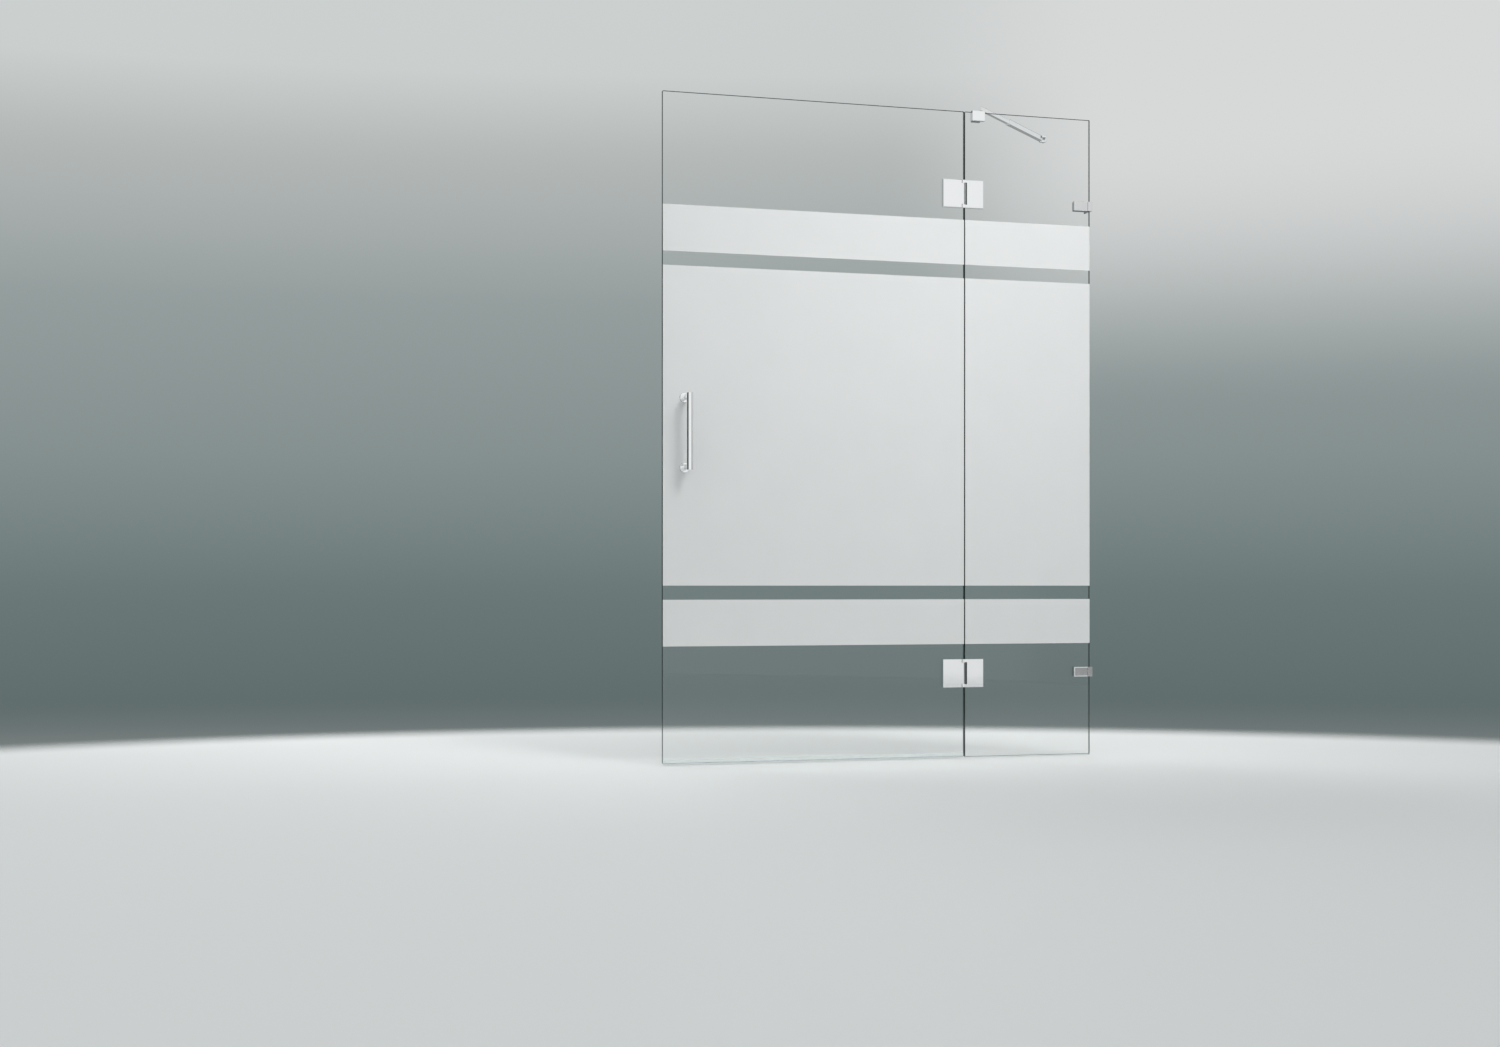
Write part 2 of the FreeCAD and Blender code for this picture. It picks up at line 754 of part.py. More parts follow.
def arm_rod(label):
    """The square rod that turns on the clamp and slides in the tube."""
    body = new_body(label, x="pivot_x", y="pivot_y", z="rod_level", turn="arm_angle")
    section = draw_bar_section(sketch_on(body, "YZ", z="-rod_tail"), "rod_width / 2", "rod_height / 2")
    length = "rod_tail + sleeve_place + rod_overlap"
    pad(body, section, length)
    dress_edges(body, "Fillet", "rod_round", long_edges(length))
    neck = "pivot_radius + running_gap"
    rim = "pivot_head + running_gap"
    profile = [
        ("0", "-rod_height / 2 - overrun"),
        (neck, "-rod_height / 2 - overrun"),
        (neck, "rod_height / 2 - pivot_head + pivot_radius - running_gap"),
        (rim, "rod_height / 2 - running_gap"),
        (rim, "rod_height / 2 + overrun"),
        ("0", "rod_height / 2 + overrun"),
    ]
    turn_profile(body, "Groove", draw_outline(sketch_on(body, "XZ"), profile))


def arm_tube(label):
    """The tube that slides over the rod, with a threaded hole below for its lock screw."""
    body = new_body(label, x="pivot_x", y="pivot_y", z="rod_level", turn="arm_angle")
    length = "tube_end - sleeve_place"
    outer = sketch_on(body, "YZ", z="sleeve_place")
    pad(body, draw_bar_section(outer, "tube_half_width", "tube_half_height"), length)
    dress_edges(body, "Fillet", "tube_round", long_edges(length))
    bore = sketch_on(body, "YZ", z="sleeve_place")
    cut_both(body, draw_bar_section(bore, "bore_half_width", "bore_half_height"), length)
    thread = sketch_on(body, "XY", z="-tube_half_height")
    draw_circle(thread, "sleeve_place + lock_place", "0", "lock_radius + thread_gap")
    cut_both(body, thread, "tube_wall + slide_gap")


def arm_lock_screw(label):
    """The grub screw that locks the tube on the rod."""
    body = new_body(label, x="pivot_x", y="pivot_y", z="rod_level", turn="arm_angle")
    place = "sleeve_place + lock_place"
    bottom = "-(lock_tip + lock_length)"
    profile = draw_box(sketch_on(body, "XZ", x=place), "0", "lock_radius", bottom, "-lock_tip")
    turn_profile(body, "Revolution", profile)
    cut_hexagon(body, "XY", place, "0", bottom, "lock_socket", "lock_socket")


def arm_tube_end(label):
    """The end fitting: a plug in the tube, a shoulder and the tongue that turns in the foot."""
    body = new_body(label, x="pivot_x", y="pivot_y", z="rod_level", turn="arm_angle")
    plug = sketch_on(body, "YZ", z="tube_end - plug_length")
    draw_bar_section(plug, "bore_half_width - plug_fit", "bore_half_height - plug_fit")
    pad(body, plug, "plug_length")
    shoulder = sketch_on(body, "YZ", z="tube_end")
    draw_bar_section(shoulder, "tube_half_width", "tube_half_height")
    pad(body, shoulder, "shoulder_thick")
    tongue = sketch_on(body, "XY")
    draw_box(tongue, "tube_end", "arm_span", "-tongue_width / 2", "tongue_width / 2")
    pad_both(body, tongue, "tongue_thick")
    nose = draw_circle(sketch_on(body, "XY"), "arm_span", "0", "tongue_width / 2")
    pad_both(body, nose, "tongue_thick")
    bore = draw_circle(sketch_on(body, "XY"), "arm_span", "0", "foot_pin_radius + running_gap")
    cut_both(body, bore, "tongue_thick")


def arm_foot(label):
    """The wall foot: a plate on the wall and two ears that hold the tongue's pin."""
    body = new_body(label, x="-foot_depth", y="foot_y", z="rod_level")
    height = "2 * (foot_slot + foot_ear)"
    ears = sketch_on(body, "XY")
    draw_box(ears, "0", "foot_depth - foot_plate_thick", "-tongue_width / 2", "tongue_width / 2")
    pad_both(body, ears, height)
    nose = draw_circle(sketch_on(body, "XY"), "0", "0", "tongue_width / 2")
    pad_both(body, nose, height)
    slot = sketch_on(body, "XY")
    reach = "tongue_width / 2 + overrun"
    draw_box(slot, f"-({reach})", "foot_depth - foot_plate_thick", f"-({reach})", reach)
    cut_both(body, slot, "foot_slot")
    plate = sketch_on(body, "XY")
    draw_box(plate, "foot_depth - foot_plate_thick", "foot_depth", "-foot_plate / 2", "foot_plate / 2")
    pad_both(body, plate, height)
    bore = draw_circle(sketch_on(body, "XY"), "0", "0", "foot_pin_radius + press_gap")
    cut_both(body, bore, height)
    screw = draw_circle(sketch_on(body, "YZ", z="foot_depth"), "0", "0", "foot_screw_radius")
    cut_both(body, screw, "foot_plate_thick")


def arm_foot_pin(label):
    body = new_body(label, x="-foot_depth", y="foot_y", z="rod_level")
    pin = draw_circle(sketch_on(body, "XY"), "0", "0", "foot_pin_radius")
    pad_both(body, pin, "2 * (foot_slot + foot_ear - pin_inset)")


# Assembly

def hinge_holes(screw_x):
    levels = [f"{place}_hinge {sign} hinge_screw_z" for place in HINGES for sign in "+-"]
    return [(screw_x, level) for level in levels]


bracket_holes = [("bracket_screw_x", f"{place}_bracket") for place in BRACKETS]
fixed_holes = hinge_holes("fixed_screw_x") + bracket_holes
handle_holes = [("handle_x", "handle_low"), ("handle_x", "handle_high")]
door_holes = hinge_holes("door_screw_x") + handle_holes

glass_pane("fixed_glass", "fixed_left", "-wall_gap", "fixed_lift", fixed_holes)
glass_pane("door_glass", "door_left", "door_right", "door_lift", door_holes)
frosted_bands("fixed_frosted_bands", "fixed_left", "-wall_gap", [])
frosted_bands("door_frosted_bands", "door_left", "door_right", handle_holes)
hole_sleeves("fixed_hole_sleeves", fixed_holes)
hole_sleeves("door_hole_sleeves", door_holes)
fixed_seal("fixed_bottom_seal")
door_seal("door_bottom_seal")
for place in HINGES:
    build_hinge(place)
for place in BRACKETS:
    build_bracket(place)
handle("outer_handle", "0")
handle("inner_handle", "180")
handle_washers("handle_washers")
handle_studs("handle_studs")
arm_clamp("arm_clamp")
arm_clamp_pads("arm_clamp_pads")
arm_grub_screws("arm_clamp_grub_screws")
arm_pivot_washer("arm_pivot_washer")
arm_pivot_screw("arm_pivot_screw")
arm_rod("arm_rod")
arm_tube("arm_tube")
arm_lock_screw("arm_lock_screw")
arm_tube_end("arm_tube_end")
arm_foot("arm_wall_foot")
arm_foot_pin("arm_foot_pin")
doc.recompute()

# Every object and shape is checked before anything is written
failed = [thing.Name for thing in doc.Objects if {"Invalid", "Error"} & set(thing.State)]
failed += [body.Label for body in nodes if body.Shape.isNull() or not body.Shape.isValid()]
failed += [label for label, before, after in cuts if after.Shape.Volume >= before.Shape.Volume]
if failed:
    raise RuntimeError(f"failed: {failed}")

os.makedirs("parts", exist_ok=True)
for body in nodes:
    body.Shape.exportStep(f"parts/{body.Label}.step")
    print(body.Label, len(body.Shape.Solids), round(body.Shape.Volume, 1))
print(len(nodes), "pieces written")
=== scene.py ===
# %% [markdown]
# # A glass bath screen
#
# A frameless bath screen is almost nothing: two panes of toughened glass, three frosted bands and a few
# polished fittings. All that the eye gets is edges, reflections and what lies behind. So this lesson
# spends its care on finishes and on the small soft edges of the metal, where the light catches.
#
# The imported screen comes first. Each of its nodes keeps its own place, and everything that is made here
# is measured from those nodes, in metres. The front of the screen looks towards minus Y.

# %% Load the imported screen
import json
import math

import bmesh
import bpy
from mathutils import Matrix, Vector


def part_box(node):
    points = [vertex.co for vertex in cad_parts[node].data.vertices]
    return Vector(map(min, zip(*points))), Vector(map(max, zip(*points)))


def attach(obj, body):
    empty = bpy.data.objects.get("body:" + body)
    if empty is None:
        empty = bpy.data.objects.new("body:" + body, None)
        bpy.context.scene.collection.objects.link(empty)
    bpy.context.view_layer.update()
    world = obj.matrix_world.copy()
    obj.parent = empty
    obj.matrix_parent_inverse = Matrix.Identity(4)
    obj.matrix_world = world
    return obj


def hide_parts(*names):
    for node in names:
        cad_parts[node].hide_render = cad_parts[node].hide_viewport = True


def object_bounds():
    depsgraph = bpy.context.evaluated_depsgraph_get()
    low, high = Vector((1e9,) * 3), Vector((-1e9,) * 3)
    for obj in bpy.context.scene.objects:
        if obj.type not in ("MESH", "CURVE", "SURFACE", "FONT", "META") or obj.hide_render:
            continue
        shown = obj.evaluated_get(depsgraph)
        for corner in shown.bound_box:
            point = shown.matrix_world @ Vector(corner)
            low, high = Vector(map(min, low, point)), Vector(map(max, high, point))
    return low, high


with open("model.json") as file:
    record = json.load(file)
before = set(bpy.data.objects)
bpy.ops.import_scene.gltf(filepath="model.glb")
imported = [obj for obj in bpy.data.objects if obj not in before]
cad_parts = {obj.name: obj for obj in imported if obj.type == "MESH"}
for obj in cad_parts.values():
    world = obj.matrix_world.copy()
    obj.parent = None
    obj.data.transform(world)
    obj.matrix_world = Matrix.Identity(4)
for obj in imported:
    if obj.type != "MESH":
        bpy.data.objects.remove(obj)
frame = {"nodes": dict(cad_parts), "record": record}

packed_low, packed_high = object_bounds()
print("packed screen from", packed_low, "to", packed_high)

# %% [markdown]
# ## Camera
#
# The camera stands four and a half metres in front of the screen and about a metre to the left of it,
# 40 cm above its lower edge. It looks level, so that upright edges stay upright, and the picture is
# shifted up instead of tilting the camera. The focal length comes from where the two sets of level
# edges run together in the picture.

# %% Place the camera
image_width = 1500
image_height = 1047
focal_pixels = 2114.0
horizon_row = 585.6
eye = Vector((-2.225, -4.552, 0.400))
looking_level = math.radians(90)
turned_right = math.radians(16.9)

bpy.ops.object.camera_add(location=eye, rotation=(looking_level, 0, -turned_right))
camera = bpy.context.object
camera.name = "room_camera"
camera.data.lens = camera.data.sensor_width * focal_pixels / image_width
camera.data.shift_y = (horizon_row - image_height / 2) / image_width
bpy.context.scene.camera = camera
bpy.context.scene.view_settings.view_transform = "Standard"
print("lens", round(camera.data.lens, 2), "mm, shift", round(camera.data.shift_y, 4))

# %% [markdown]
# ## Node trees as sums
#
# Shader maths reads best as a sum, so a node's output is wrapped in a small class. Adding, taking away
# or multiplying two of them adds the Math node.

# %% Wires
class Wire:
    """One output of a node, which ordinary sums and products can take further."""

    def __init__(self, recipe, socket):
        self.recipe = recipe
        self.socket = socket

    def maths(self, operation, first, second):
        """One Math node on two values or wires."""
        return self.recipe.node("Math", {"operation": operation}, {0: first, 1: second})

    def __add__(self, other):
        return self.maths("ADD", self, other)

    __radd__ = __add__

    def __rsub__(self, other):
        return self.maths("SUBTRACT", other, self)

    def __mul__(self, other):
        return self.maths("MULTIPLY", self, other)

    __rmul__ = __mul__

    def __gt__(self, other):
        return self.maths("GREATER_THAN", self, other)


# %% [markdown]
# A recipe holds one node tree. Every node but those sums comes from its one method, which sets the
# node's choices first and then feeds its sockets. A few mixtures that come back often have short names.

# %% Recipes
class Recipe:
    """A node tree being mixed, for one finish or for the studio's surroundings."""

    def __init__(self, owner):
        owner.use_nodes = True
        self.tree = owner.node_tree
        self.tree.nodes.clear()

    def node(self, kind, choices=None, sockets=None, out=0):
        """Add a node, set its choices, feed its sockets and hand back one of its outputs."""
        made = self.tree.nodes.new(f"ShaderNode{kind}")
        for name, choice in (choices or {}).items():
            if name == "stops":
                self.set_stops(made.color_ramp, choice)
            else:
                setattr(made, name, choice)
        for name, value in (sockets or {}).items():
            self.feed(made.inputs[name], value)
        return Wire(self, made.outputs[out]) if made.outputs else None

    def feed(self, socket, value):
        """Give a socket a value, or join it to another node's output."""
        if isinstance(value, Wire):
            self.tree.links.new(value.socket, socket)
        else:
            socket.default_value = value

    @staticmethod
    def set_stops(ramp, stops):
        """Lay a ramp's colours at their places."""
        while len(ramp.elements) < len(stops):
            ramp.elements.new(1.0)
        for element, (place, colour) in zip(ramp.elements, stops):
            element.position = place
            element.color = (*colour, 1.0)

    def mix(self, share, first, second):
        """A colour between two others."""
        return self.node("Mix", {"data_type": "RGBA"}, {0: share, 6: first, 7: second}, out=2)

    def fade(self, value, start, end):
        """A share that rises smoothly from 0 at the start to 1 at the end."""
        choices = {"interpolation_type": "SMOOTHSTEP"}
        return self.node("MapRange", choices, {"Value": value, "From Min": start, "From Max": end})

    def noise(self, place, scale, detail=2.0):
        """A cloudy share, with so many clouds to the metre."""
        return self.node("TexNoise", sockets={"Vector": place, "Scale": scale, "Detail": detail})

    def bump(self, height, depth):
        """A surface that leans as a relief of this height and depth would."""
        sockets = {"Height": height, "Distance": depth, "Strength": 1.0}
        return self.node("Bump", sockets=sockets, out="Normal")


# %% [markdown]
# ## Studio
#
# Glass shows what is behind it and chrome shows what is in front of it, so the studio is part of the
# look. The floor is plain and pale, and fades out a good metre behind the screen. Beyond it the air is
# dark low down and pale overhead, which makes the frosted bands stand out from the clear glass between
# them. Past the fixed pane, on the right, it turns pale lower down.

# %% Floor
floor_centre = Vector((-1.2, -1.9, -0.0004))
floor_radius = 3.3
fade_width = 0.4
floor_paint = (0.74, 0.76, 0.76, 1)


def clear_selection():
    """Leave edit mode and let go of everything."""
    if bpy.context.mode != "OBJECT":
        bpy.ops.object.mode_set(mode="OBJECT")
    bpy.ops.object.select_all(action="DESELECT")


def pale_floor():
    """Matt paint that thins out to nothing towards the floor's edge."""
    finish = bpy.data.materials.new("pale_floor")
    recipe = Recipe(finish)
    place = recipe.node("TexCoord", out="Object")
    across = recipe.node("VectorMath", {"operation": "SUBTRACT"}, {0: place, 1: floor_centre})
    distance = recipe.node("VectorMath", {"operation": "LENGTH"}, {0: across}, out="Value")
    shown = recipe.fade(distance, floor_radius, floor_radius - fade_width)
    paint = recipe.node("BsdfPrincipled", sockets={"Base Color": floor_paint, "Roughness": 0.5})
    clear = recipe.node("BsdfTransparent")
    surface = recipe.node("MixShader", sockets={0: shown, 1: clear, 2: paint})
    recipe.node("OutputMaterial", sockets={"Surface": surface})
    return finish


clear_selection()
bpy.ops.mesh.primitive_circle_add(
    vertices=128, radius=floor_radius, fill_type="NGON", location=floor_centre)
bpy.ops.object.transform_apply(location=True)
floor = bpy.context.object
floor.name = "studio_floor"
floor.data.materials.append(pale_floor())
print("floor", 2 * floor_radius, "m across")

# %% Air
# Each stop is the sine of a height above the horizon, with the light that comes from there
air_light = [
    (-0.061, (0.115, 0.150, 0.150)),
    (-0.003, (0.145, 0.188, 0.188)),
    (0.039, (0.205, 0.250, 0.250)),
    (0.062, (0.235, 0.278, 0.278)),
    (0.131, (0.300, 0.342, 0.340)),
    (0.200, (0.462, 0.486, 0.481)),
    (0.235, (0.595, 0.622, 0.617)),
    (0.600, (0.700, 0.720, 0.720)),
]

surroundings = bpy.data.worlds.new("studio_air")
bpy.context.scene.world = surroundings
recipe = Recipe(surroundings)
direction = recipe.node("TexCoord", out="Generated")
height = recipe.node("SeparateXYZ", sockets={0: direction}, out="Z")
towards_back = recipe.node("SeparateXYZ", sockets={0: direction}, out="Y")
stops = [(0.5 + 0.5 * sine, colour) for sine, colour in air_light]
air = recipe.node("ValToRGB", {"stops": stops}, {"Fac": height * 0.5 + 0.5})
print("air with", len(stops), "heights")

# %% [markdown]
# Polished metal needs more to mirror than a plain backdrop gives: a broad bright front for the flat
# plates, a dark left for the thin dark edge on every fitting, and some shade on the right for the clips.
# These patches are taken out of what the eye sees directly or through the glass, so the backdrop stays
# plain from every side. Each one is painted over the air by its share, which depends on the direction.

# %% Patches
patch_tint = (0.985, 1.0, 1.0)


def towards(aim, start, end):
    """A share that grows as the direction turns towards an aim, between two cosines."""
    sockets = {0: direction, 1: Vector(aim).normalized()}
    cosine = recipe.node("VectorMath", {"operation": "DOT_PRODUCT"}, sockets, out="Value")
    return recipe.fade(cosine, start, end)


def between(low, high, blur=0.04):
    """A share that is 1 between two heights above the horizon, given as sines."""
    return recipe.fade(height, low - blur, low) * recipe.fade(height, high + blur, high)


below = recipe.fade(height, -0.05, -0.1)
in_front = recipe.fade(towards_back, 0.1, -0.3)
right_of_plates = towards((0.911, 0.412, 0.0), -0.01, 0.015)
seen_directly = recipe.node("LightPath", out="Is Camera Ray")
seen_through_glass = recipe.node("LightPath", out="Is Transmission Ray")
mirrored = 1.0 - (seen_directly + seen_through_glass)

# Where each patch lies, and its light
patches = [
    # The pale upper backdrop on the right
    (towards((0.927, -0.375, 0.0), -0.03, 0.08) * recipe.fade(height, 0.08, 0.21), 0.69),
    # The bright front, for the flat plates
    (mirrored * towards((0.38, -0.92, 0.12), -0.15, 0.25), 0.92),
    # The dark behind and to the left, for the fittings' left sides
    (mirrored * towards((-0.85, 0.53, 0.0), 0.62, 0.90), 0.025),
    # The pale ground in front and to the sides
    (recipe.fade(towards_back, 0.35, -0.2) * recipe.fade(height, 0.02, -0.03), 0.82),
    # The shade on the right that the clips mirror and the hinges do not, darker low down
    (mirrored * in_front * right_of_plates, 0.67),
    (mirrored * in_front * right_of_plates * recipe.fade(height, 0.17, -0.02), 0.30),
    # A pale streak for the arm's side, and the shade above it for the arm's top edge
    (mirrored * towards((0.94, 0.34, 0.0), 0.80, 0.93) * between(0.18, 0.27), 0.76),
    (mirrored * towards((0.67, 0.63, 0.39), 0.93, 0.975) * between(0.33, 0.80), 0.16),
    # The shaded ground behind, for undersides
    (below * recipe.fade(towards_back, 0.1, 0.3), 0.30),
]
for share, light in patches:
    patch_light = (*[light * part for part in patch_tint], 1)
    air = recipe.mix(share, air, patch_light)
glow = recipe.node("Background", sockets={"Color": air, "Strength": 1.0})
recipe.node("OutputWorld", sockets={"Surface": glow})
print("surroundings with", len(patches), "patches")

# %% [markdown]
# The lights are large and soft and only wash the frosting and the floor: they are hidden from the
# camera, from mirrors and from the clear glass, where a square lamp would show as a hard white block.
# The front light stands high and its beam is narrow, so the frosted bands are brightest at the top and
# settle towards the floor. The strongest light stands behind, for the back of the frosting.

# %% Soft lights
def softbox(name, place, aim, size, watts, spread=180):
    """A square lamp turned to face a point, seen neither directly nor in mirrors."""
    clear_selection()
    bpy.ops.object.light_add(type="AREA", location=place)
    light = bpy.context.object
    light.name = name
    light.data.shape = "RECTANGLE"
    light.data.size, light.data.size_y = size
    light.data.energy = watts
    light.data.spread = math.radians(spread)
    light.rotation_euler = (Vector(aim) - Vector(place)).to_track_quat("-Z", "Y").to_euler()
    light.visible_camera = False
    light.visible_glossy = False
    light.visible_transmission = False
    print(f"{name}: {watts} W, {size[0]} x {size[1]} m")


middle = (packed_low + packed_high) / 2
softbox("front_softbox", (0.4, -2.3, 3.3), (-0.2, 0, 1.5), (2.0, 1.4), 11, spread=50)
softbox("back_softbox", (-1.4, 3.2, 2.8), middle, (2.6, 2.0), 60)
softbox("top_softbox", (-0.6, -1.6, 4.2), (-0.6, -1.6, 0), (3.0, 3.0), 14)

# %% [markdown]
# ## Tools of the trade
#
# Every piece starts as a sheet, a block or a disc and is then worked like the real thing: sliced, drawn
# out, chamfered, drilled. Each of those moves gets a helper when a piece first needs it. Faces and edges
# are always picked by where they lie, never by number, so a piece still comes out right when a size
# changes.

# %% Pick and shape
# Places nearer to each other than a hair count as one
hair = 0.00002
# A direction whose part along an axis is above this counts as pointing along it
aligned = 0.9


def hold(piece):
    """Make a piece the only one that is selected, and the active one."""
    clear_selection()
    piece.select_set(True)
    bpy.context.view_layer.objects.active = piece


def pick(piece, kind, wanted):
    """Open a piece for editing, with only the faces or edges selected that lie where wanted says."""
    hold(piece)
    bpy.ops.object.mode_set(mode="EDIT")
    bpy.ops.mesh.select_mode(type=kind)
    bpy.ops.mesh.select_all(action="DESELECT")
    mesh = bmesh.from_edit_mesh(piece.data)
    if kind == "FACE":
        chosen = [face for face in mesh.faces if wanted(face.calc_center_median(), face.normal)]
    else:
        ends = [(edge, edge.verts[0].co, edge.verts[1].co) for edge in mesh.edges]
        spans = [(edge, (here + there) / 2, (there - here).normalized()) for edge, here, there in ends]
        chosen = [edge for edge, place, along in spans if wanted(place, along)]
    for part in chosen:
        part.select_set(True)
    bmesh.update_edit_mesh(piece.data)


def slice_across(piece, point, normal):
    """Score a piece all round along a plane, without taking anything off."""
    pick(piece, "FACE", lambda place, facing: True)
    bpy.ops.mesh.bisect(plane_co=point, plane_no=normal)


def draw_out(piece, wanted, move):
    """Pull the wanted faces out by a move, with new sides behind them."""
    pick(piece, "FACE", wanted)
    bpy.ops.mesh.extrude_region_move(TRANSFORM_OT_translate={"value": move})


# %% [markdown]
# A hole is made as on a drill press: a round bit, turned to its profile, is sunk into the piece and
# takes away what it meets. The same helper turns the round pieces themselves. A Boolean modifier is
# exact, and once it is applied, only the bored mesh is left.

# %% Turn and drill
def turned(name, foot, along, stations, sides=40):
    """A round solid: a disc carried along its axis through stations of height and radius."""
    clear_selection()
    bpy.ops.mesh.primitive_circle_add(vertices=sides, radius=stations[0][1], fill_type="NGON")
    piece = bpy.context.object
    piece.name = piece.data.name = name
    bpy.ops.object.mode_set(mode="EDIT")
    bpy.ops.mesh.select_mode(type="FACE")
    bpy.ops.mesh.select_all(action="SELECT")
    for (low, thin), (high, wide) in zip(stations, stations[1:]):
        bpy.ops.mesh.extrude_region_move(TRANSFORM_OT_translate={"value": (0, 0, high - low)})
        bpy.ops.transform.resize(value=(wide / thin, wide / thin, 1), center_override=(0, 0, 0))
    bpy.ops.mesh.select_all(action="SELECT")
    bpy.ops.mesh.normals_make_consistent(inside=False)
    bpy.ops.object.mode_set(mode="OBJECT")
    piece.rotation_euler = Vector(along).to_track_quat("Z", "Y").to_euler()
    piece.location = Vector(foot) + Vector(along).normalized() * stations[0][0]
    bpy.ops.object.transform_apply(location=True, rotation=True)
    return piece


def straight(radius, start, end):
    """The two stations of a plain rod or hole."""
    return [(start, radius), (end, radius)]


def combine(piece, other, operation):
    """Add one solid to another or take it away, and leave only the result."""
    hold(piece)
    step = piece.modifiers.new("combine", "BOOLEAN")
    step.operation = operation
    step.solver = "EXACT"
    step.object = other
    bpy.ops.object.modifier_apply(modifier=step.name)
    bpy.data.objects.remove(other)


def drill(piece, foot, along, stations):
    """Bore a plain, stepped or tapered hole, given like a turned solid."""
    combine(piece, turned("drill", foot, along, stations), "DIFFERENCE")


# %% [markdown]
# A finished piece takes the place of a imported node: it moves with that node's body and shows in its
# stead. The print after it gives its size and counts its open edges, which should be none.

# %% Put a finished piece on the screen
body_of = {node: body for body, nodes in frame["record"]["behaviour"]["bodies"].items() for node in nodes}
slot_of = {part["node"]: part["material_slot"] for part in frame["record"]["subparts"]}
made = []


def stands_for(piece, node):
    """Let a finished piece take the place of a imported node: its body and its material slot."""
    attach(piece, body_of[node])
    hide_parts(node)
    made.append((piece, slot_of[node]))
    mesh = bmesh.new()
    mesh.from_mesh(piece.data)
    loose = sum(not edge.is_manifold for edge in mesh.edges)
    mesh.free()
    size = " x ".join(f"{1000 * side:.1f}" for side in piece.dimensions)
    print(f"{piece.name}: {size} mm, {len(piece.data.polygons)} faces, {loose} open edges")


def centre_of(node):
    """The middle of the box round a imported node."""
    low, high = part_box(node)
    return (low + high) / 2


# %% [markdown]
# ## Frosted bands
#
# The frosting on the real screen is etched or printed into the front face, so it has almost no
# thickness. Here it is a thin film. Its bands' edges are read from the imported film, and the places of the
# handle's feet from theirs.

# %% Find the bands and the feet
film_low, film_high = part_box("door_frosted_bands")
film_points = [vertex.co for vertex in frame["nodes"]["door_frosted_bands"].data.vertices]
levels = sorted({round(point.z, 5) for point in film_points if abs(point.x - film_low.x) < hair})
washers_low, washers_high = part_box("handle_washers")
foot_radius = (washers_high.x - washers_low.x) / 2
handle_x = centre_of("outer_handle").x
handle_levels = (washers_low.z + foot_radius, washers_high.z - foot_radius)
print("band edges", levels)

# %% [markdown]
# Each pane's frosting starts as one sheet, scored at the edges of the bands. The strips between are
# deleted, and what is left is drawn out to the film's thickness. On the door it is cut round the
# handle's feet.

# %% Frost the panes
# The film ends this far from the handle's feet, and the cutter reaches this far past it
film_room = 0.0005
film_cut = 0.002


def frosting(name, node):
    """The film on one pane, cut into its bands."""
    low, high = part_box(node)
    sheet_centre = (low + high) / 2
    clear_selection()
    bpy.ops.mesh.primitive_plane_add(size=1, location=(sheet_centre.x, high.y, sheet_centre.z),
                                     rotation=(math.radians(90), 0, 0))
    sheet = bpy.context.object
    sheet.name = sheet.data.name = name
    sheet.scale = (high.x - low.x, high.z - low.z, 1)
    bpy.ops.object.transform_apply(location=True, rotation=True, scale=True)
    for level in levels[1:-1]:
        slice_across(sheet, (0, 0, level), (0, 0, 1))
    clear_strips = list(zip(levels[1:-1:2], levels[2:-1:2]))
    pick(sheet, "FACE", lambda place, facing: any(a < place.z < b for a, b in clear_strips))
    bpy.ops.mesh.delete(type="FACE")
    draw_out(sheet, lambda place, facing: True, (0, low.y - high.y, 0))
    bpy.ops.mesh.select_all(action="SELECT")
    bpy.ops.mesh.normals_make_consistent(inside=False)
    bpy.ops.object.mode_set(mode="OBJECT")
    return sheet


fixed_frosting = frosting("fixed_frosting", "fixed_frosted_bands")
door_frosting = frosting("door_frosting", "door_frosted_bands")
for level in handle_levels:
    hole = straight(foot_radius + film_room, -film_cut, film_cut)
    drill(door_frosting, (handle_x, film_low.y, level), (0, 1, 0), hole)
stands_for(fixed_frosting, "fixed_frosted_bands")
stands_for(door_frosting, "door_frosted_bands")

# %% [markdown]
# ## Hinges
#
# A glass-to-glass hinge clamps each pane between two plates. In front, the door's plate carries a tongue
# and the fixed plate carries two ears round it, and a pin runs down through all three. Both plates start
# as a block. A real plate's edges are first chamfered, and then buffing eases every corner a little. A
# wide bevel and a fine one do the same here, and it is the fine one that catches the light.

# %% Blocks and edges
crease_angle = math.radians(28)
smooth_angle = math.radians(40)


def start_block(name, low, high):
    """A block between two corners, to be shaped further."""
    low, high = Vector(low), Vector(high)
    clear_selection()
    bpy.ops.mesh.primitive_cube_add(size=1, location=(low + high) / 2, scale=high - low)
    bpy.ops.object.transform_apply(location=True, rotation=True, scale=True)
    piece = bpy.context.object
    piece.name = piece.data.name = name
    return piece


def break_edges(piece, wanted, width, steps=1):
    """Bevel the wanted edges: one step is a chamfer, several make a round."""
    pick(piece, "EDGE", wanted)
    bpy.ops.mesh.bevel(offset=width, segments=steps, affect="EDGES")


def soften(piece, width=0.00025):
    """Ease every sharp edge a little, and shade the flats flat."""
    hold(piece)
    ease = piece.modifiers.new("ease", "BEVEL")
    ease.width = width
    ease.segments = 2
    ease.limit_method = "ANGLE"
    ease.angle_limit = crease_angle
    bpy.ops.object.modifier_apply(modifier=ease.name)
    bpy.ops.object.shade_smooth_by_angle(angle=smooth_angle)
    even = piece.modifiers.new("even", "WEIGHTED_NORMAL")
    even.keep_sharp = True
    bpy.ops.object.modifier_apply(modifier=even.name)


# %% [markdown]
# Two screws clamp each plate to the glass from behind, so each leaf has two blind holes. A drill starts
# just before the face that it enters, which keeps the cut clean.

# %% Screw holes
run_in = 0.001
thread_radius = 0.00305
thread_depth = 0.0045


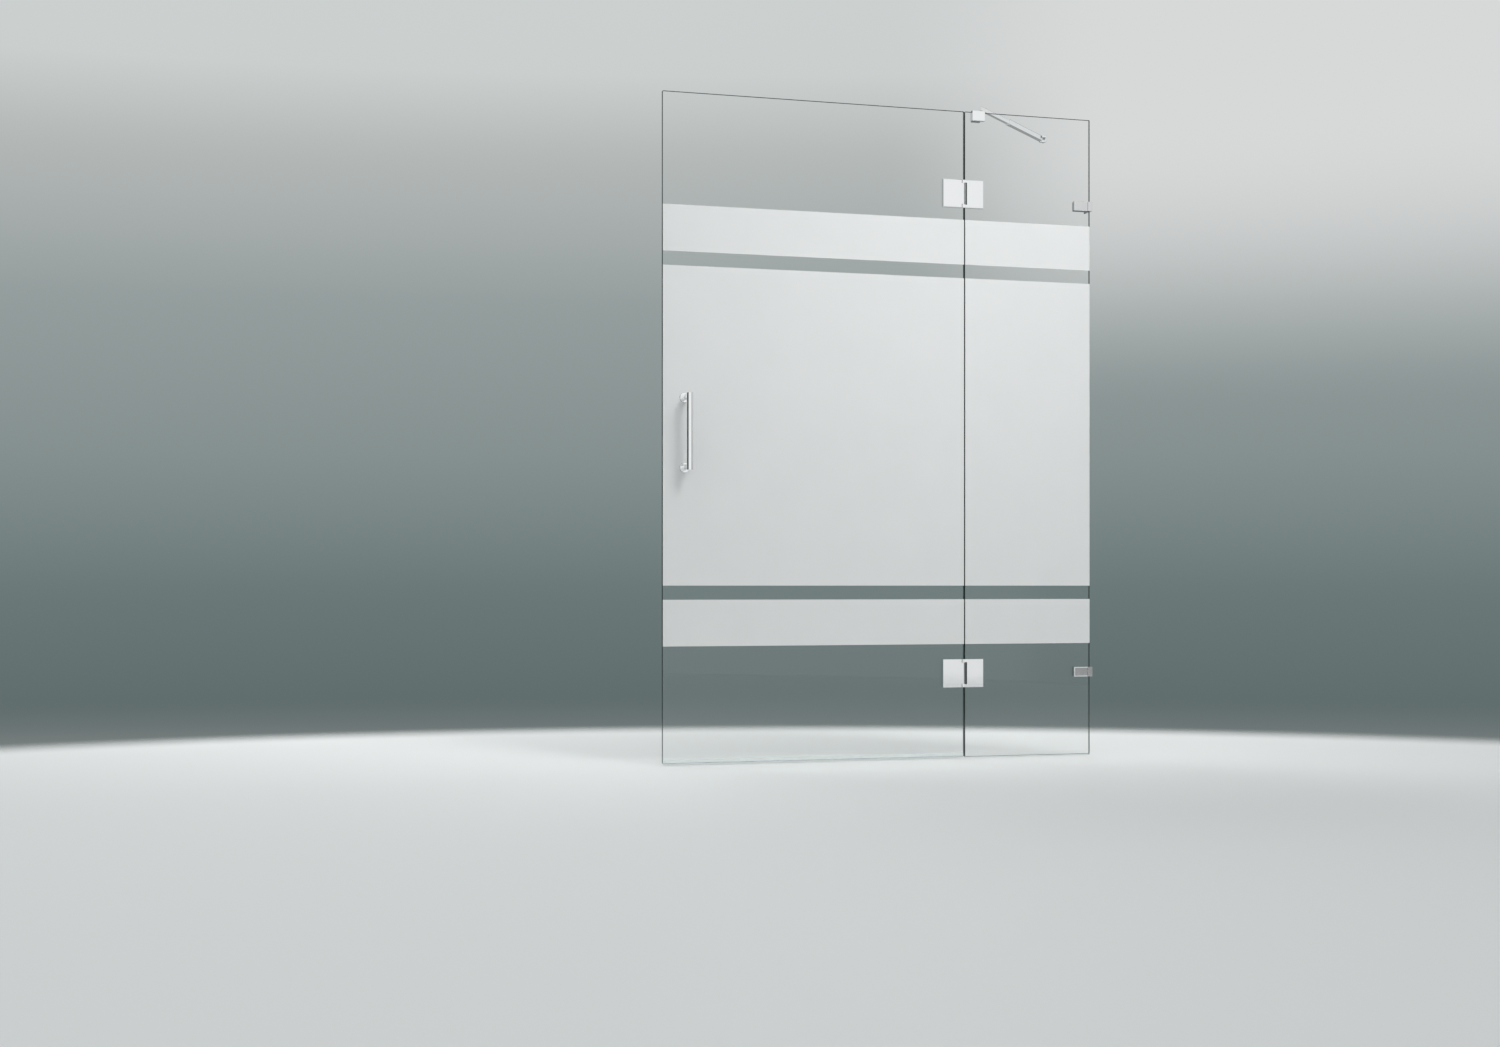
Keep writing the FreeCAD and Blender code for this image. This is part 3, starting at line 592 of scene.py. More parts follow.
def screw_places(node):
    """Where each of the two screws in a node has the middle of its head, one above the other."""
    low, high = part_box(node)
    head = (high.x - low.x) / 2
    return [Vector((low.x + head, high.y, level)) for level in (low.z + head, high.z - head)]


def tap_behind(plate, places):
    """Blind threaded holes that open towards the glass."""
    back = max(v.co.y for v in plate.data.vertices)
    for place in places:
        drill(plate, (place.x, back, place.z), (0, -1, 0), straight(thread_radius, -run_in, thread_depth))


# %% [markdown]
# The front edges get their chamfer while the leaf is still a plain block, because the tongue and the ears
# have none. Those get a round nose instead, so that they can turn past each other about the pin.

# %% Chamfers and noses
plate_bevel = 0.0012
nose_steps = 10
# A round of the full half thickness would close on itself, so it stops just short of that
nose_share = 0.985


def round_nose(piece, end, radius, towards):
    """Round the upright edges at the end of a tongue into a half circle."""
    def at_end(place, along):
        return (place.x - end) * towards > -hair and abs(along.z) > aligned
    break_edges(piece, at_end, radius * nose_share, nose_steps)


def chamfer_front(piece, plain_side):
    """Bevel the front rim of a plate, but not on the side where its tongue or ears grow."""
    front = min(v.co.y for v in piece.data.vertices)
    low, high = (f(v.co.z for v in piece.data.vertices) for f in (min, max))

    def on_rim(place, along):
        across = min(abs(place.z - low), abs(place.z - high)) < hair
        return place.y < front + hair and (across or abs(place.x - plain_side) < hair)
    break_edges(piece, on_rim, plate_bevel)


# %% [markdown]
# The door's leaf comes first. Its tongue is drawn out of the block's side, between two scores at the
# height of the bush, and is bored for the bush that turns on the pin.

# %% Door leaf
pin = centre_of("upper_hinge_pin")
bush_low, bush_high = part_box("upper_hinge_bush")
leaf_low, leaf_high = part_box("upper_hinge_door_leaf")
leaf_height = leaf_high.z - leaf_low.z
clamped_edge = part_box("upper_hinge_door_gaskets")[1].x
door_leaf = start_block("upper_hinge_leaf_door", leaf_low, (clamped_edge, leaf_high.y, leaf_high.z))
for level in (bush_low.z, bush_high.z):
    slice_across(door_leaf, (0, 0, level), (0, 0, 1))
chamfer_front(door_leaf, leaf_low.x)


def is_tongue(place, facing):
    return facing.x > aligned and bush_low.z < place.z < bush_high.z


draw_out(door_leaf, is_tongue, (leaf_high.x - clamped_edge, 0, 0))
round_nose(door_leaf, leaf_high.x, pin.y - leaf_low.y, towards=1)
bush_bore = (bush_high.x - bush_low.x) / 2 + hair
drill(door_leaf, (pin.x, pin.y, leaf_low.z), (0, 0, 1), straight(bush_bore, 0, leaf_height))
tap_behind(door_leaf, screw_places("upper_hinge_door_screws"))
soften(door_leaf)
print(f"hinge axis at {1000 * pin.x:.2f}, {1000 * pin.y:.2f} mm")

# %% [markdown]
# The fixed leaf is such a block the other way round, with an ear above the tongue and one below it.
# The slot between them also takes a washer at each end of the tongue. The pin's hole runs through both.

# %% Fixed leaf
pin_low, pin_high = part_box("upper_hinge_pin")
slot_low, slot_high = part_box("upper_hinge_washers")
leaf_low, leaf_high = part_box("upper_hinge_fixed_leaf")
clamped_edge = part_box("upper_hinge_fixed_gaskets")[0].x
fixed_leaf = start_block("upper_hinge_leaf_fixed", (clamped_edge, leaf_low.y, leaf_low.z), leaf_high)
for level in (slot_low.z, slot_high.z):
    slice_across(fixed_leaf, (0, 0, level), (0, 0, 1))
chamfer_front(fixed_leaf, leaf_high.x)


def is_ear(place, facing):
    return facing.x < -aligned and not slot_low.z < place.z < slot_high.z


draw_out(fixed_leaf, is_ear, (leaf_low.x - clamped_edge, 0, 0))
round_nose(fixed_leaf, leaf_low.x, pin.y - leaf_low.y, towards=-1)
pin_bore = (pin_high.x - pin_low.x) / 2 + hair
drill(fixed_leaf, (pin.x, pin.y, leaf_low.z), (0, 0, 1), straight(pin_bore, -run_in, leaf_height + run_in))
tap_behind(fixed_leaf, screw_places("upper_hinge_fixed_screws"))
soften(fixed_leaf)
print(f"slot for the tongue {1000 * (slot_high.z - slot_low.z):.1f} mm high")

# %% [markdown]
# The plates behind the glass only clamp, so they are plain: a block whose far face is chamfered all
# round, with a countersunk hole for each screw.

# %% Inner plates
# This bit is longer than any plate here is thick
long_bit = 0.02
screw_radius = 0.003
head_radius = 0.0054
screw_room = 0.0001


def countersink(piece, place):
    """A screw's hole from behind: a cone that starts at the face, then a straight neck."""
    neck, rim = screw_radius + screw_room, head_radius + screw_room
    cone = rim - neck
    lead = cone / 10
    drill(piece, place, (0, -1, 0), [(-lead, rim + lead), (cone, neck), (long_bit, neck)])


def inner_plate(side):
    """The plate behind one pane, bored for its two screws."""
    low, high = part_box(f"upper_hinge_{side}_inner_plate")
    plate = start_block(f"upper_hinge_plate_{side}", low, high)
    break_edges(plate, lambda place, along: place.y > high.y - hair, plate_bevel)
    for place in screw_places(f"upper_hinge_{side}_screws"):
        countersink(plate, place)
    soften(plate)
    return plate


door_plate = inner_plate("door")
fixed_plate = inner_plate("fixed")
print(f"screw heads {2000 * head_radius:.1f} mm across")

# %% [markdown]
# The two hinges are alike, so one set is made for the upper hinge and copied down. Each copy has a mesh
# of its own, because every piece keeps its place in its mesh.

# %% Copies
def copy_of(piece, name, shift=(0, 0, 0)):
    """A copy with a mesh of its own, moved in its mesh."""
    hold(piece)
    bpy.ops.object.duplicate(linked=False)
    twin = bpy.context.object
    twin.name = twin.data.name = name
    twin.location = Vector(shift)
    bpy.ops.object.transform_apply(location=True, rotation=False, scale=False)
    return twin


def stand_both(pieces, drop):
    """Let each upper piece stand for its node, and a copy that is moved down for the lower node."""
    for piece, node in pieces:
        twin = copy_of(piece, piece.name.replace("upper", "lower"), drop)
        stands_for(piece, f"upper_{node}")
        stands_for(twin, f"lower_{node}")


to_lower_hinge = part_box("lower_hinge_door_leaf")[0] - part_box("upper_hinge_door_leaf")[0]
hinge_pieces = (
    (door_leaf, "hinge_door_leaf"),
    (fixed_leaf, "hinge_fixed_leaf"),
    (door_plate, "hinge_door_inner_plate"),
    (fixed_plate, "hinge_fixed_inner_plate"),
)
stand_both(hinge_pieces, to_lower_hinge)

# %% [markdown]
# ## Wall clips
#
# Each clip is one bent piece and one loose plate. From above, the bent piece is a flange
# with a short lip in front of the glass and a long leg behind it. It starts as the flange, which is
# scored where the glass passes, and the lip and the leg are drawn out of its side.

# %% Clip bases
flange_thick = 0.003
flange_ease = 0.0005
lip_reach = 0.0116
wall_bore = 0.00275
wall_bore_place = 0.022

base_low, base_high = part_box("upper_bracket_base")
clip_screw = screw_places("upper_bracket_screw")[0]
plate_low, plate_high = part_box("upper_bracket_plate")
seat = -plate_high.y
leg_back = clip_screw.y
clip_base = start_block("upper_clip_base", (-flange_thick, base_low.y, base_low.z), base_high)
for place in (-seat, seat, leg_back):
    slice_across(clip_base, (0, place, 0), (0, 1, 0))


def is_lip(place, facing):
    return facing.x < -aligned and place.y < -seat


def is_leg(place, facing):
    return facing.x < -aligned and seat < place.y < leg_back


def on_wall_side(place, along):
    return place.x > -hair and place.y > seat


draw_out(clip_base, is_lip, (flange_thick - lip_reach, 0, 0))
draw_out(clip_base, is_leg, (base_low.x + flange_thick, 0, 0))
break_edges(clip_base, on_wall_side, flange_ease)
countersink(clip_base, clip_screw)
wall_screw = (-long_bit / 2, wall_bore_place, clip_screw.z)
drill(clip_base, wall_screw, (1, 0, 0), straight(wall_bore, 0, long_bit))
soften(clip_base)
print(f"clip flange {1000 * flange_thick:.1f} mm thick, lip {1000 * lip_reach:.1f} mm out")

# %% [markdown]
# The loose plate has the hinge plates' chamfer and one blind hole for the screw. Then both pieces are
# copied down to the lower clip.

# %% Clip plates
clip_plate = start_block("upper_clip_plate", plate_low, plate_high)
break_edges(clip_plate, lambda place, along: place.y < plate_low.y + hair, plate_bevel)
tap_behind(clip_plate, [clip_screw])
soften(clip_plate)

to_lower_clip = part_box("lower_bracket_base")[0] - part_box("upper_bracket_base")[0]
stand_both(((clip_base, "bracket_base"), (clip_plate, "bracket_plate")), to_lower_clip)

# %% [markdown]
# ## Handles
#
# The pull handle is a straight round bar on two legs, with a twin behind the glass. Each of the three is
# a disc that is carried along its axis, narrower at the bar's ends where the cut edge is broken. They
# are welded into one solid, and each leg is bored for the stud that joins the two handles.

# %% Handles
end_break = 0.0004
leg_radius = 0.0068
stud_bore = 0.00305
stud_depth = 0.014
handle_sides = 48


def weld(piece, other):
    """Join another solid to a piece, with no wall left between them."""
    combine(piece, other, "UNION")


bar_low, bar_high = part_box("outer_handle")
bar_radius = (bar_high.x - bar_low.x) / 2
bar_length = bar_high.z - bar_low.z
bar_y = bar_low.y + bar_radius
bar = [
    (0, bar_radius - end_break),
    (end_break, bar_radius),
    (bar_length - end_break, bar_radius),
    (bar_length, bar_radius - end_break),
]
outer_handle = turned("pull_handle_outer", (handle_x, bar_y, bar_low.z), (0, 0, 1), bar, handle_sides)
leg = straight(leg_radius, 0, bar_high.y - bar_y)
for level in handle_levels:
    weld(outer_handle, turned("leg", (handle_x, bar_high.y, level), (0, -1, 0), leg, handle_sides))
for level in handle_levels:
    drill(outer_handle, (handle_x, bar_high.y, level), (0, -1, 0), straight(stud_bore, -run_in, stud_depth))
soften(outer_handle)

inner_handle = copy_of(outer_handle, "pull_handle_inner")
inner_handle.rotation_euler.z = math.pi
inner_handle.location.x = 2 * handle_x
bpy.ops.object.transform_apply(location=True, rotation=True)
stands_for(outer_handle, "outer_handle")
stands_for(inner_handle, "inner_handle")

# %% [markdown]
# Each leg stands on a round foot with a bevelled rim, which on the real door hides the hole in the glass
# and keeps the leg off it. The four are alike and are joined into one piece.

# %% Handle feet
foot_gap = 0.00005
foot_break_share = 0.4
foot_ease = 0.0001

glass_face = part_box("door_glass")[1].y
foot_thick = washers_high.y - glass_face - 2 * foot_gap
foot_break = foot_thick * foot_break_share
foot_stations = [
    (0, foot_radius),
    (foot_thick - foot_break, foot_radius),
    (foot_thick, foot_radius - foot_break),
]
feet = []
for side in (-1, 1):
    for level in handle_levels:
        foot_at = (handle_x, side * (glass_face + foot_gap), level)
        foot = turned("foot", foot_at, (0, side, 0), foot_stations, handle_sides)
        drill(foot, foot_at, (0, side, 0), straight(stud_bore, -run_in, foot_thick + run_in))
        feet.append(foot)
clear_selection()
for foot in feet:
    foot.select_set(True)
bpy.context.view_layer.objects.active = feet[0]
bpy.ops.object.join()
handle_feet = bpy.context.object
handle_feet.name = handle_feet.data.name = "pull_handle_feet"
soften(handle_feet, foot_ease)
stands_for(handle_feet, "handle_washers")

# %% [markdown]
# ## Seals
#
# Two clear strips close the gap under the panes. The fixed pane stands on a plain one, a block whose
# upper edges are rounded.

# %% Setting strip
strip_round = 0.0004
strip_ease = 0.0001

strip_low, strip_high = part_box("fixed_bottom_seal")
strip = start_block("fixed_setting_strip", strip_low, strip_high)


def along_strip_top(place, along):
    return abs(along.x) > aligned and place.z > strip_high.z - hair


break_edges(strip, along_strip_top, strip_round, steps=2)
soften(strip, strip_ease)
stands_for(strip, "fixed_bottom_seal")

# %% [markdown]
# The door carries a channel that grips its lower edge, with a thin fin that leans and wipes what is below
# as the door swings. The channel starts as its floor: the two walls are drawn up from the floor's sides,
# and the fin is drawn down from a narrow strip in the middle of its underside.

# %% Wiper seal
seal_wall = 0.001
seal_floor = 0.0039
seal_ease = 0.0002
fin_thick = 0.0008
fin_lean = 0.003

seal_low, seal_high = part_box("door_bottom_seal")
under_floor = seal_floor - seal_wall
inside_walls = seal_high.y - seal_wall
wiper_high = (seal_high.x, seal_high.y, seal_floor)
wiper = start_block("door_wiper_seal", (seal_low.x, seal_low.y, under_floor), wiper_high)
for across in (-inside_walls, -fin_thick / 2, fin_thick / 2, inside_walls):
    slice_across(wiper, (0, across, 0), (0, 1, 0))


def under_walls(place, facing):
    return facing.z > aligned and abs(place.y) > inside_walls


def over_fin(place, facing):
    return facing.z < -aligned and abs(place.y) < fin_thick / 2


draw_out(wiper, under_walls, (0, 0, seal_high.z - seal_floor))
draw_out(wiper, over_fin, (0, fin_lean, seal_low.z - under_floor))
soften(wiper, seal_ease)
stands_for(wiper, "door_bottom_seal")

# %% [markdown]
# ## Stabiliser arm
#
# A narrow pane that carries a heavy door would bow, so a short arm braces its top edge from behind.
# A saddle clamps the edge, a square rod turns on it and slides in a square tube, and the tube's end
# turns in a small foot. The saddle is worked from its front jaw: the bridge and the back jaw are drawn
# out of it over the glass.

# %% Saddle
arm_ease = 0.0002
bridge_thick = 0.0016
pivot_bore = 0.00255
pivot_depth = 0.009

saddle_low, saddle_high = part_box("arm_clamp")
grubs_low, grubs_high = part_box("arm_clamp_grub_screws")
pivot = centre_of("arm_pivot_washer")
saddle_x = (saddle_low.x + saddle_high.x) / 2
bridge_low = saddle_high.z - bridge_thick
clamp_points = [vertex.co for vertex in frame["nodes"]["arm_clamp"].data.vertices]
back_half = max(abs(point.x - saddle_x) for point in clamp_points if point.y > seat)
saddle = start_block("arm_saddle", saddle_low, (saddle_high.x, -seat, saddle_high.z))
break_edges(saddle, lambda place, along: place.y < saddle_low.y + hair, plate_bevel / 2)
for across in (saddle_x - back_half, saddle_x + back_half):
    slice_across(saddle, (across, 0, 0), (1, 0, 0))
slice_across(saddle, (0, 0, bridge_low), (0, 0, 1))


def is_bridge(place, facing):
    return facing.y > aligned and abs(place.x - saddle_x) < back_half and place.z > bridge_low


def under_back(place, facing):
    return facing.z < -aligned and place.y > seat


draw_out(saddle, is_bridge, (0, 2 * seat, 0))
draw_out(saddle, is_bridge, (0, saddle_high.y - seat, 0))
draw_out(saddle, under_back, (0, 0, saddle_low.z - bridge_low))
grub_radius = (grubs_high.z - grubs_low.z) / 2
grub_level = (grubs_low.z + grubs_high.z) / 2
grub_hole = straight(grub_radius + screw_room / 2, -run_in, saddle_high.y - seat + run_in)
for across in (grubs_low.x + grub_radius, grubs_high.x - grub_radius):
    drill(saddle, (across, saddle_high.y, grub_level), (0, -1, 0), grub_hole)
drill(saddle, (pivot.x, pivot.y, saddle_high.z), (0, 0, -1), straight(pivot_bore, -run_in, pivot_depth))
soften(saddle, arm_ease)
stands_for(saddle, "arm_clamp")

# %% [markdown]
# The rod, the tube and the tube's end fitting are made straight along X, with the pivot at the origin,
# because a bar is easiest to work when it lies along an axis. Then they are swung round to the arm's
# angle. The rod is a block with rounded long edges, countersunk for the screw that it turns on.

# %% Rod
arm_turn = math.radians(44)
rod_width = 0.0086
rod_tail = 0.005
rod_overlap = 0.080
rod_round = 0.001
rod_head_room = 0.00005
rod_head_lead = 0.0002
tube_start = 0.163

rod_low, rod_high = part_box("arm_rod")
rod_height = rod_high.z - rod_low.z
rod_level = (rod_high.z + rod_low.z) / 2


def swing(piece):
    """Turn a piece that was made along X from the pivot to the arm's angle, and put it there."""
    hold(piece)
    piece.rotation_euler.z = arm_turn
    piece.location = (pivot.x, pivot.y, rod_level)
    bpy.ops.object.transform_apply(location=True, rotation=True)


def arm_block(name, start, end, half):
    """A straight length of the arm, given by its two ends and half of its section."""
    return start_block(name, (start, -half.y, -half.z), (end, half.y, half.z))


def runs_along(place, along):
    return abs(along.x) > aligned


rod_half = Vector((0, rod_width / 2, rod_height / 2))
rod = arm_block("arm_square_rod", -rod_tail, tube_start + rod_overlap, rod_half)
break_edges(rod, runs_along, rod_round, steps=3)
pivot_head_low, pivot_head_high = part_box("arm_pivot_screw")
head = (pivot_head_high.x - pivot_head_low.x) / 2 + rod_head_room
rod_hole = [
    (-rod_head_lead, head + rod_head_lead),
    (head - pivot_bore, pivot_bore),
    (rod_height + run_in, pivot_bore),
]
drill(rod, (0, 0, rod_half.z), (0, 0, -1), rod_hole)
soften(rod, arm_ease)
swing(rod)
stands_for(rod, "arm_rod")

# %% [markdown]
# The tube starts solid. Its two ends are inset by the wall, and bridging the two insets opens it from end
# to end, with a wall of one thickness. A hole underneath takes the screw that locks the slide.

# %% Tube
tube_half = Vector((0, 0.0057, 0.0064))
tube_wall = 0.0013
tube_round = 0.0014
lock_bore = 0.00205
lock_place = 0.012
shoulder_gap = 0.006
shoulder_thick = 0.003

foot_pin = centre_of("arm_foot_pin")
arm_span = (Vector((foot_pin.x, foot_pin.y)) - Vector((pivot.x, pivot.y))).length
tube_finish = arm_span - shoulder_gap - shoulder_thick
tube = arm_block("arm_sliding_tube", tube_start, tube_finish, tube_half)
break_edges(tube, runs_along, tube_round, steps=4)
pick(tube, "FACE", lambda place, facing: abs(facing.x) > aligned)
bpy.ops.mesh.inset(thickness=tube_wall, use_boundary=True)
bpy.ops.mesh.bridge_edge_loops()
bpy.ops.object.mode_set(mode="OBJECT")
lock_at = (tube_start + lock_place, 0, -tube_half.z)
drill(tube, lock_at, (0, 0, 1), straight(lock_bore, -run_in, tube_wall + run_in))
soften(tube, arm_ease)
swing(tube)
stands_for(tube, "arm_tube")

# %% [markdown]
# The end fitting closes the tube. It starts as the shoulder that shows: from one face a plug is drawn
# back into the tube, and from the other a flat tongue is drawn out, rounded and bored for the foot's pin.

# %% End fitting
plug_length = 0.018
plug_room = 0.00005
tongue_half = 0.005
tongue_thick = 0.007
tongue_bore = 0.00205

shoulder_end = tube_finish + shoulder_thick
arm_end = arm_block("arm_end_fitting", tube_finish, shoulder_end, tube_half)
pick(arm_end, "FACE", lambda place, facing: facing.x < -aligned)
bpy.ops.mesh.inset(thickness=tube_wall + plug_room)
bpy.ops.mesh.extrude_region_move(TRANSFORM_OT_translate={"value": (-plug_length, 0, 0)})
pick(arm_end, "FACE", lambda place, facing: facing.x > aligned)
inset_to_tongue = tube_half.y - tongue_half
squeeze = tongue_thick / 2 / (tube_half.z - inset_to_tongue)
tongue_end = arm_span + tongue_half
bpy.ops.mesh.inset(thickness=inset_to_tongue)
bpy.ops.transform.resize(value=(1, 1, squeeze), center_override=(shoulder_end, 0, 0))
bpy.ops.mesh.extrude_region_move(TRANSFORM_OT_translate={"value": (tongue_end - shoulder_end, 0, 0)})
round_nose(arm_end, tongue_end, tongue_half, towards=1)
drill(arm_end, (arm_span, 0, 0), (0, 0, 1), straight(tongue_bore, -long_bit / 2, long_bit / 2))
soften(arm_end, arm_ease)
swing(arm_end)
stands_for(arm_end, "arm_tube_end")

# %% [markdown]
# The wall foot is a plate with two ears, above and below the arm's tongue. It starts as the
# plate, scored at the ears' edges. The ears are drawn out and rounded about the pin, and the plate is
# drilled between them for its one screw.

# %% Wall foot
foot_plate_thick = 0.003
ear_gap = 0.0036
ear_half = 0.005
foot_bore = 0.00202
foot_screw_bore = 0.002

foot_low, foot_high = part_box("arm_wall_foot")
wall_foot = start_block("arm_foot_on_wall", (-foot_plate_thick, foot_low.y, foot_low.z), foot_high)
for level in (rod_level - ear_gap, rod_level + ear_gap):
    slice_across(wall_foot, (0, 0, level), (0, 0, 1))
for across in (foot_pin.y - ear_half, foot_pin.y + ear_half):
    slice_across(wall_foot, (0, across, 0), (0, 1, 0))


def is_foot_ear(place, facing):
    above_or_below = abs(place.z - rod_level) > ear_gap
    return facing.x < -aligned and abs(place.y - foot_pin.y) < ear_half and above_or_below


draw_out(wall_foot, is_foot_ear, (foot_low.x + foot_plate_thick, 0, 0))
round_nose(wall_foot, foot_low.x, ear_half, towards=-1)
through_ears = straight(foot_bore, -run_in, foot_high.z - foot_low.z + run_in)
drill(wall_foot, (foot_pin.x, foot_pin.y, foot_low.z), (0, 0, 1), through_ears)
through_plate = straight(foot_screw_bore, -run_in, foot_plate_thick + run_in)
drill(wall_foot, (-foot_plate_thick, foot_pin.y, rod_level), (1, 0, 0), through_plate)
soften(wall_foot, arm_ease)
stands_for(wall_foot, "arm_wall_foot")

# %% [markdown]
# ## Finishes
#
# Real things are never one flat colour, and on a bath screen the difference is small but it is what
# tells metal from plastic. So each finish has a grain of its own size, laid out in the piece's own
# metres: smears of a few centimetres on the chrome, hairlines on the steel, mottling in the frosting.
# The grain mostly moves the roughness, because that is what a worn or wiped surface changes.

# %% Start and end a finish
finishes = {}


def start_finish(name):
    """A new material, its recipe and the place on the piece, in metres."""
    finish = bpy.data.materials.new(name)
    finishes[name] = finish
    recipe = Recipe(finish)
    return recipe, recipe.node("TexCoord", out="Object")


def paint(recipe, **sockets):
    """The general surface shader, with its sockets named by words joined with underscores."""
    named = {name.replace("_", " "): value for name, value in sockets.items()}
    return recipe.node("BsdfPrincipled", sockets=named)


def finish_with(recipe, surface):
    """Let what a recipe mixed become the surface."""
    recipe.node("OutputMaterial", sockets={"Surface": surface})


def stretched(recipe, place, across, along, upwards):
    """Noise drawn out into lines: few changes along one axis, many along the others."""
    drawn = recipe.node("Mapping", sockets={"Vector": place, "Scale": (across, along, upwards)})
    return recipe.noise(drawn, scale=1.0, detail=3.0)


def mix_finishes(*recipes):
    """Mix each finish and say how many nodes it took."""
    for mix_one in recipes:
        mix_one()
        print("finish", mix_one.__name__, "with", len(finishes[mix_one.__name__].node_tree.nodes), "nodes")


# %% [markdown]
# Metal shows the colour of what it mirrors, so its own tone stays pale, but for the brass. The way its
# lines run tells one from another: none on the chrome, hairlines on the steel, rings in the brass.

# %% Metals
def polished_chrome():
    """Plated and buffed: nearly a mirror, with wiped smears and the faintest ripple of the buffing."""
    recipe, place = start_finish("polished_chrome")
    smears = recipe.noise(place, scale=45.0, detail=3.0)
    wiped = recipe.fade(recipe.noise(place, scale=14.0), 0.52, 0.68)
    ripple = recipe.noise(place, scale=1400.0, detail=1.0)
    tone = recipe.mix(smears, (0.875, 0.885, 0.90, 1), (0.92, 0.92, 0.92, 1))
    finish_with(recipe, paint(
        recipe, Base_Color=tone, Metallic=1.0, Roughness=0.02 + 0.07 * smears + 0.03 * wiped,
        Normal=recipe.bump(ripple, 0.0000004)))


def stainless_steel():
    """Turned and tumbled: satin, with fine hairlines round and along."""
    recipe, place = start_finish("stainless_steel")
    hairlines = stretched(recipe, place, 2600, 2600, 300)
    cloud = recipe.noise(place, scale=260.0)
    tone = recipe.mix(hairlines, (0.52, 0.52, 0.53, 1), (0.66, 0.66, 0.67, 1))
    finish_with(recipe, paint(
        recipe, Base_Color=tone, Metallic=1.0, Roughness=0.18 + 0.12 * cloud + 0.08 * hairlines,
        Normal=recipe.bump(hairlines, 0.000002)))


def bush_brass():
    """Reamed brass: rings round its upright axis, a little dulled by grease."""
    recipe, place = start_finish("bush_brass")
    rings = stretched(recipe, place, 40, 40, 3200)
    grease = recipe.noise(place, scale=320.0)
    tone = recipe.mix(grease, (0.72, 0.58, 0.30, 1), (0.58, 0.45, 0.22, 1))
    finish_with(recipe, paint(
        recipe, Base_Color=tone, Metallic=1.0, Roughness=0.22 + 0.2 * rings,
        Normal=recipe.bump(rings, 0.000002)))


mix_finishes(polished_chrome, stainless_steel, bush_brass)

# %% [markdown]
# Glass is two finishes in one. The two faces are clear and almost without a grain. The ground edges are
# nearly black, because light that enters the pane there is swallowed on its way: that dark line is what
# draws the outline of the screen. Which one shows is decided by the way the surface faces. Light on its
# way to a shadow passes straight through the pane, or the frosting behind it would stay dark.

# %% Glass and frosting
def clear_glass():
    """Two clear faces with the faintest wave and breath on them, and four dark ground edges."""
    recipe, place = start_finish("clear_glass")
    facing = recipe.node("TexCoord", out="Normal")
    across = recipe.node("SeparateXYZ", sockets={0: facing}, out="Y")
    flat = across * across > 0.9
    wave = recipe.noise(place, scale=3.0, detail=1.0)
    breath = recipe.fade(recipe.noise(place, scale=6.0, detail=3.0), 0.5, 0.8)
    pane = paint(
        recipe, Base_Color=(0.975, 0.985, 0.982, 1), Roughness=0.004 * breath, IOR=1.36,
        Transmission_Weight=1.0, Normal=recipe.bump(wave, 0.00002))
    grinding = stretched(recipe, place, 900, 60, 900)
    depth = recipe.mix(grinding, (0.008, 0.018, 0.016, 1), (0.020, 0.036, 0.033, 1))
    edge = paint(recipe, Base_Color=depth, Roughness=0.10 + 0.16 * grinding, IOR=1.5)
    glass = recipe.node("MixShader", sockets={0: flat, 1: edge, 2: pane})
    through = recipe.node("BsdfTransparent", sockets={"Color": (0.94, 0.955, 0.95, 1)})
    shadow = recipe.node("LightPath", out="Is Shadow Ray")
    finish_with(recipe, recipe.node("MixShader", sockets={0: shadow, 1: glass, 2: through}))


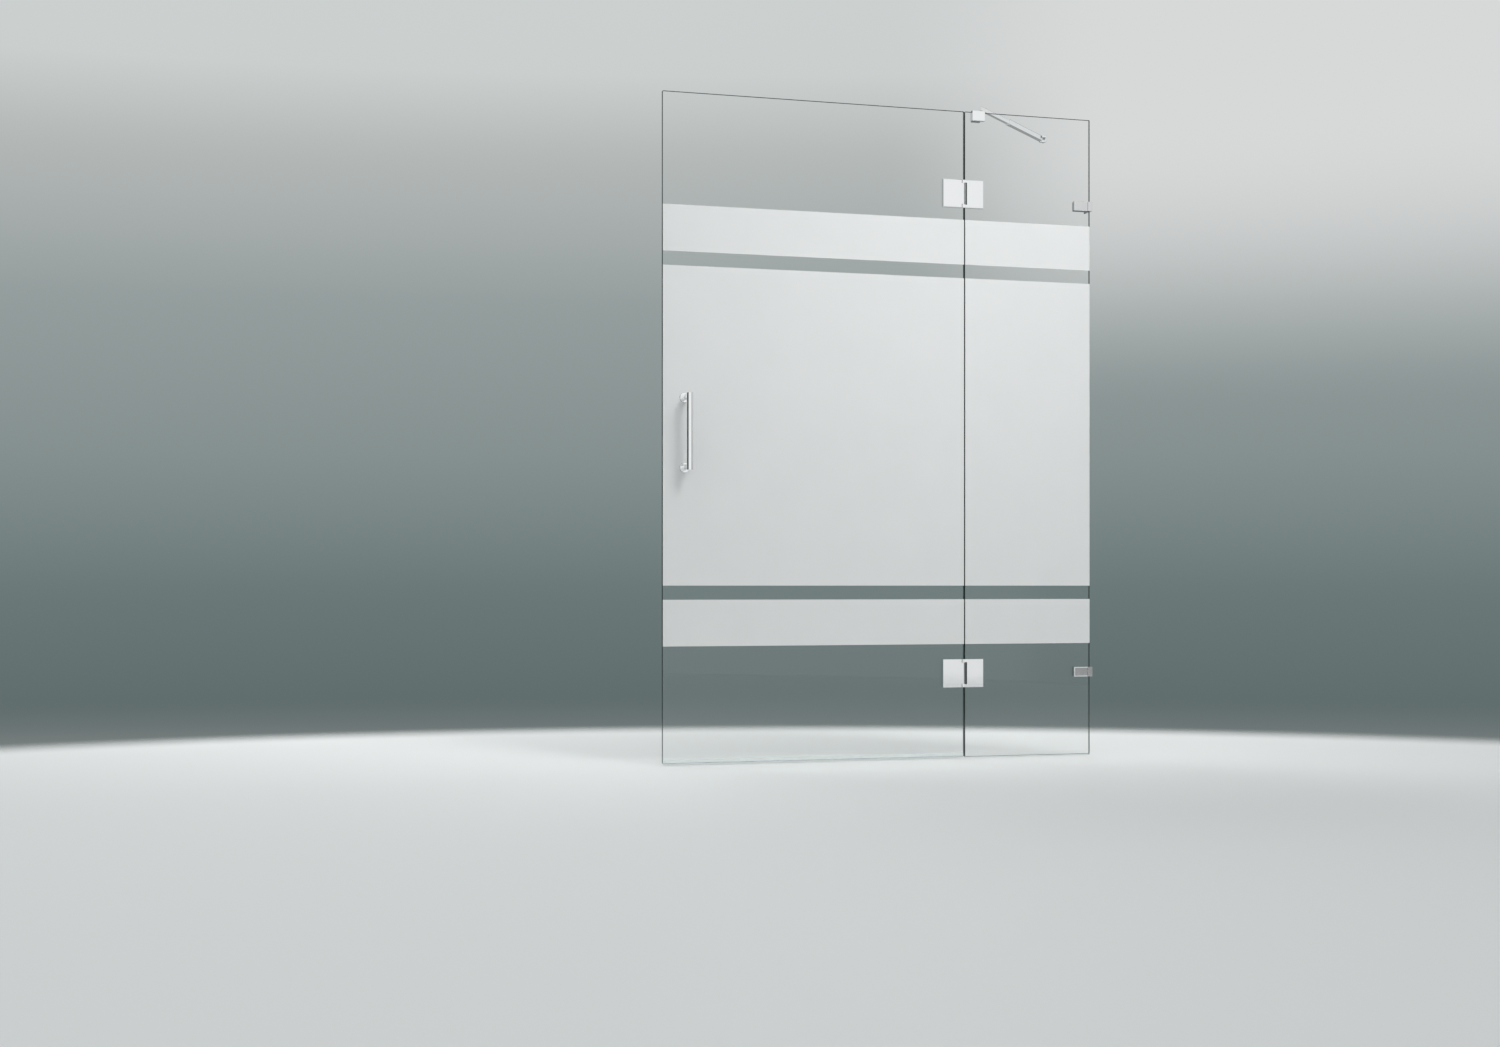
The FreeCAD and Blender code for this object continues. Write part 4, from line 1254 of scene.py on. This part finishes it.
def frosted_film():
    """Frosting: a white bloom with a broad mottle and a sand-fine grain."""
    recipe, place = start_finish("frosted_film")
    mottle = recipe.noise(place, scale=9.0)
    sand = recipe.noise(place, scale=2200.0, detail=1.0)
    tone = recipe.mix(mottle * 0.7 + sand * 0.3, (0.72, 0.735, 0.735, 1), (0.78, 0.785, 0.785, 1))
    finish_with(recipe, paint(
        recipe, Base_Color=tone, Roughness=0.58 + 0.14 * sand, IOR=1.3, Transmission_Weight=0.3,
        Normal=recipe.bump(sand, 0.000004)))


mix_finishes(clear_glass, frosted_film)

# %% [markdown]
# The soft pieces are small, but they are what stands between metal and glass. Rubber is dark with a
# skin of fine grain and a little bloom; nylon is milky; the clear seal is seen only by its edges.

# %% Rubber, nylon and clear seal
def gasket_rubber():
    """Moulded rubber: dark, with a pale bloom in places."""
    recipe, place = start_finish("gasket_rubber")
    skin = recipe.noise(place, scale=1100.0)
    bloom = recipe.fade(recipe.noise(place, scale=60.0, detail=3.0), 0.45, 0.8)
    tone = recipe.mix(bloom, (0.15, 0.165, 0.175, 1), (0.24, 0.26, 0.27, 1))
    finish_with(recipe, paint(
        recipe, Base_Color=tone, Roughness=0.5 + 0.2 * skin, Normal=recipe.bump(skin, 0.00001)))


def nylon():
    """Moulded nylon: milky, with a fine matt skin."""
    recipe, place = start_finish("nylon")
    milk = recipe.noise(place, scale=120.0)
    skin = recipe.noise(place, scale=1500.0, detail=1.0)
    tone = recipe.mix(milk, (0.76, 0.76, 0.73, 1), (0.84, 0.84, 0.82, 1))
    finish_with(recipe, paint(
        recipe, Base_Color=tone, Roughness=0.4 + 0.2 * skin, Normal=recipe.bump(skin, 0.000004)))


def clear_seal():
    """Extruded clear plastic: faint lines along its length, and hardly there from the front."""
    recipe, place = start_finish("clear_seal")
    drawn = stretched(recipe, place, 8, 500, 500)
    tone = recipe.mix(drawn, (0.70, 0.77, 0.77, 1), (0.82, 0.87, 0.87, 1))
    finish_with(recipe, paint(
        recipe, Base_Color=tone, Roughness=0.18 + 0.12 * drawn, Alpha=0.14 + 0.08 * drawn, IOR=1.2))


mix_finishes(gasket_rubber, nylon, clear_seal)

# %% [markdown]
# Last, every piece gets the finish of its slot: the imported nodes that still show, and the made ones.

# %% Give every piece its finish
for node, slot in slot_of.items():
    for place in frame["nodes"][node].material_slots:
        place.material = finishes[slot]
for piece, slot in made:
    piece.data.materials.clear()
    piece.data.materials.append(finishes[slot])
print(len(made), "made pieces and", len(slot_of), "packed nodes have their finish")
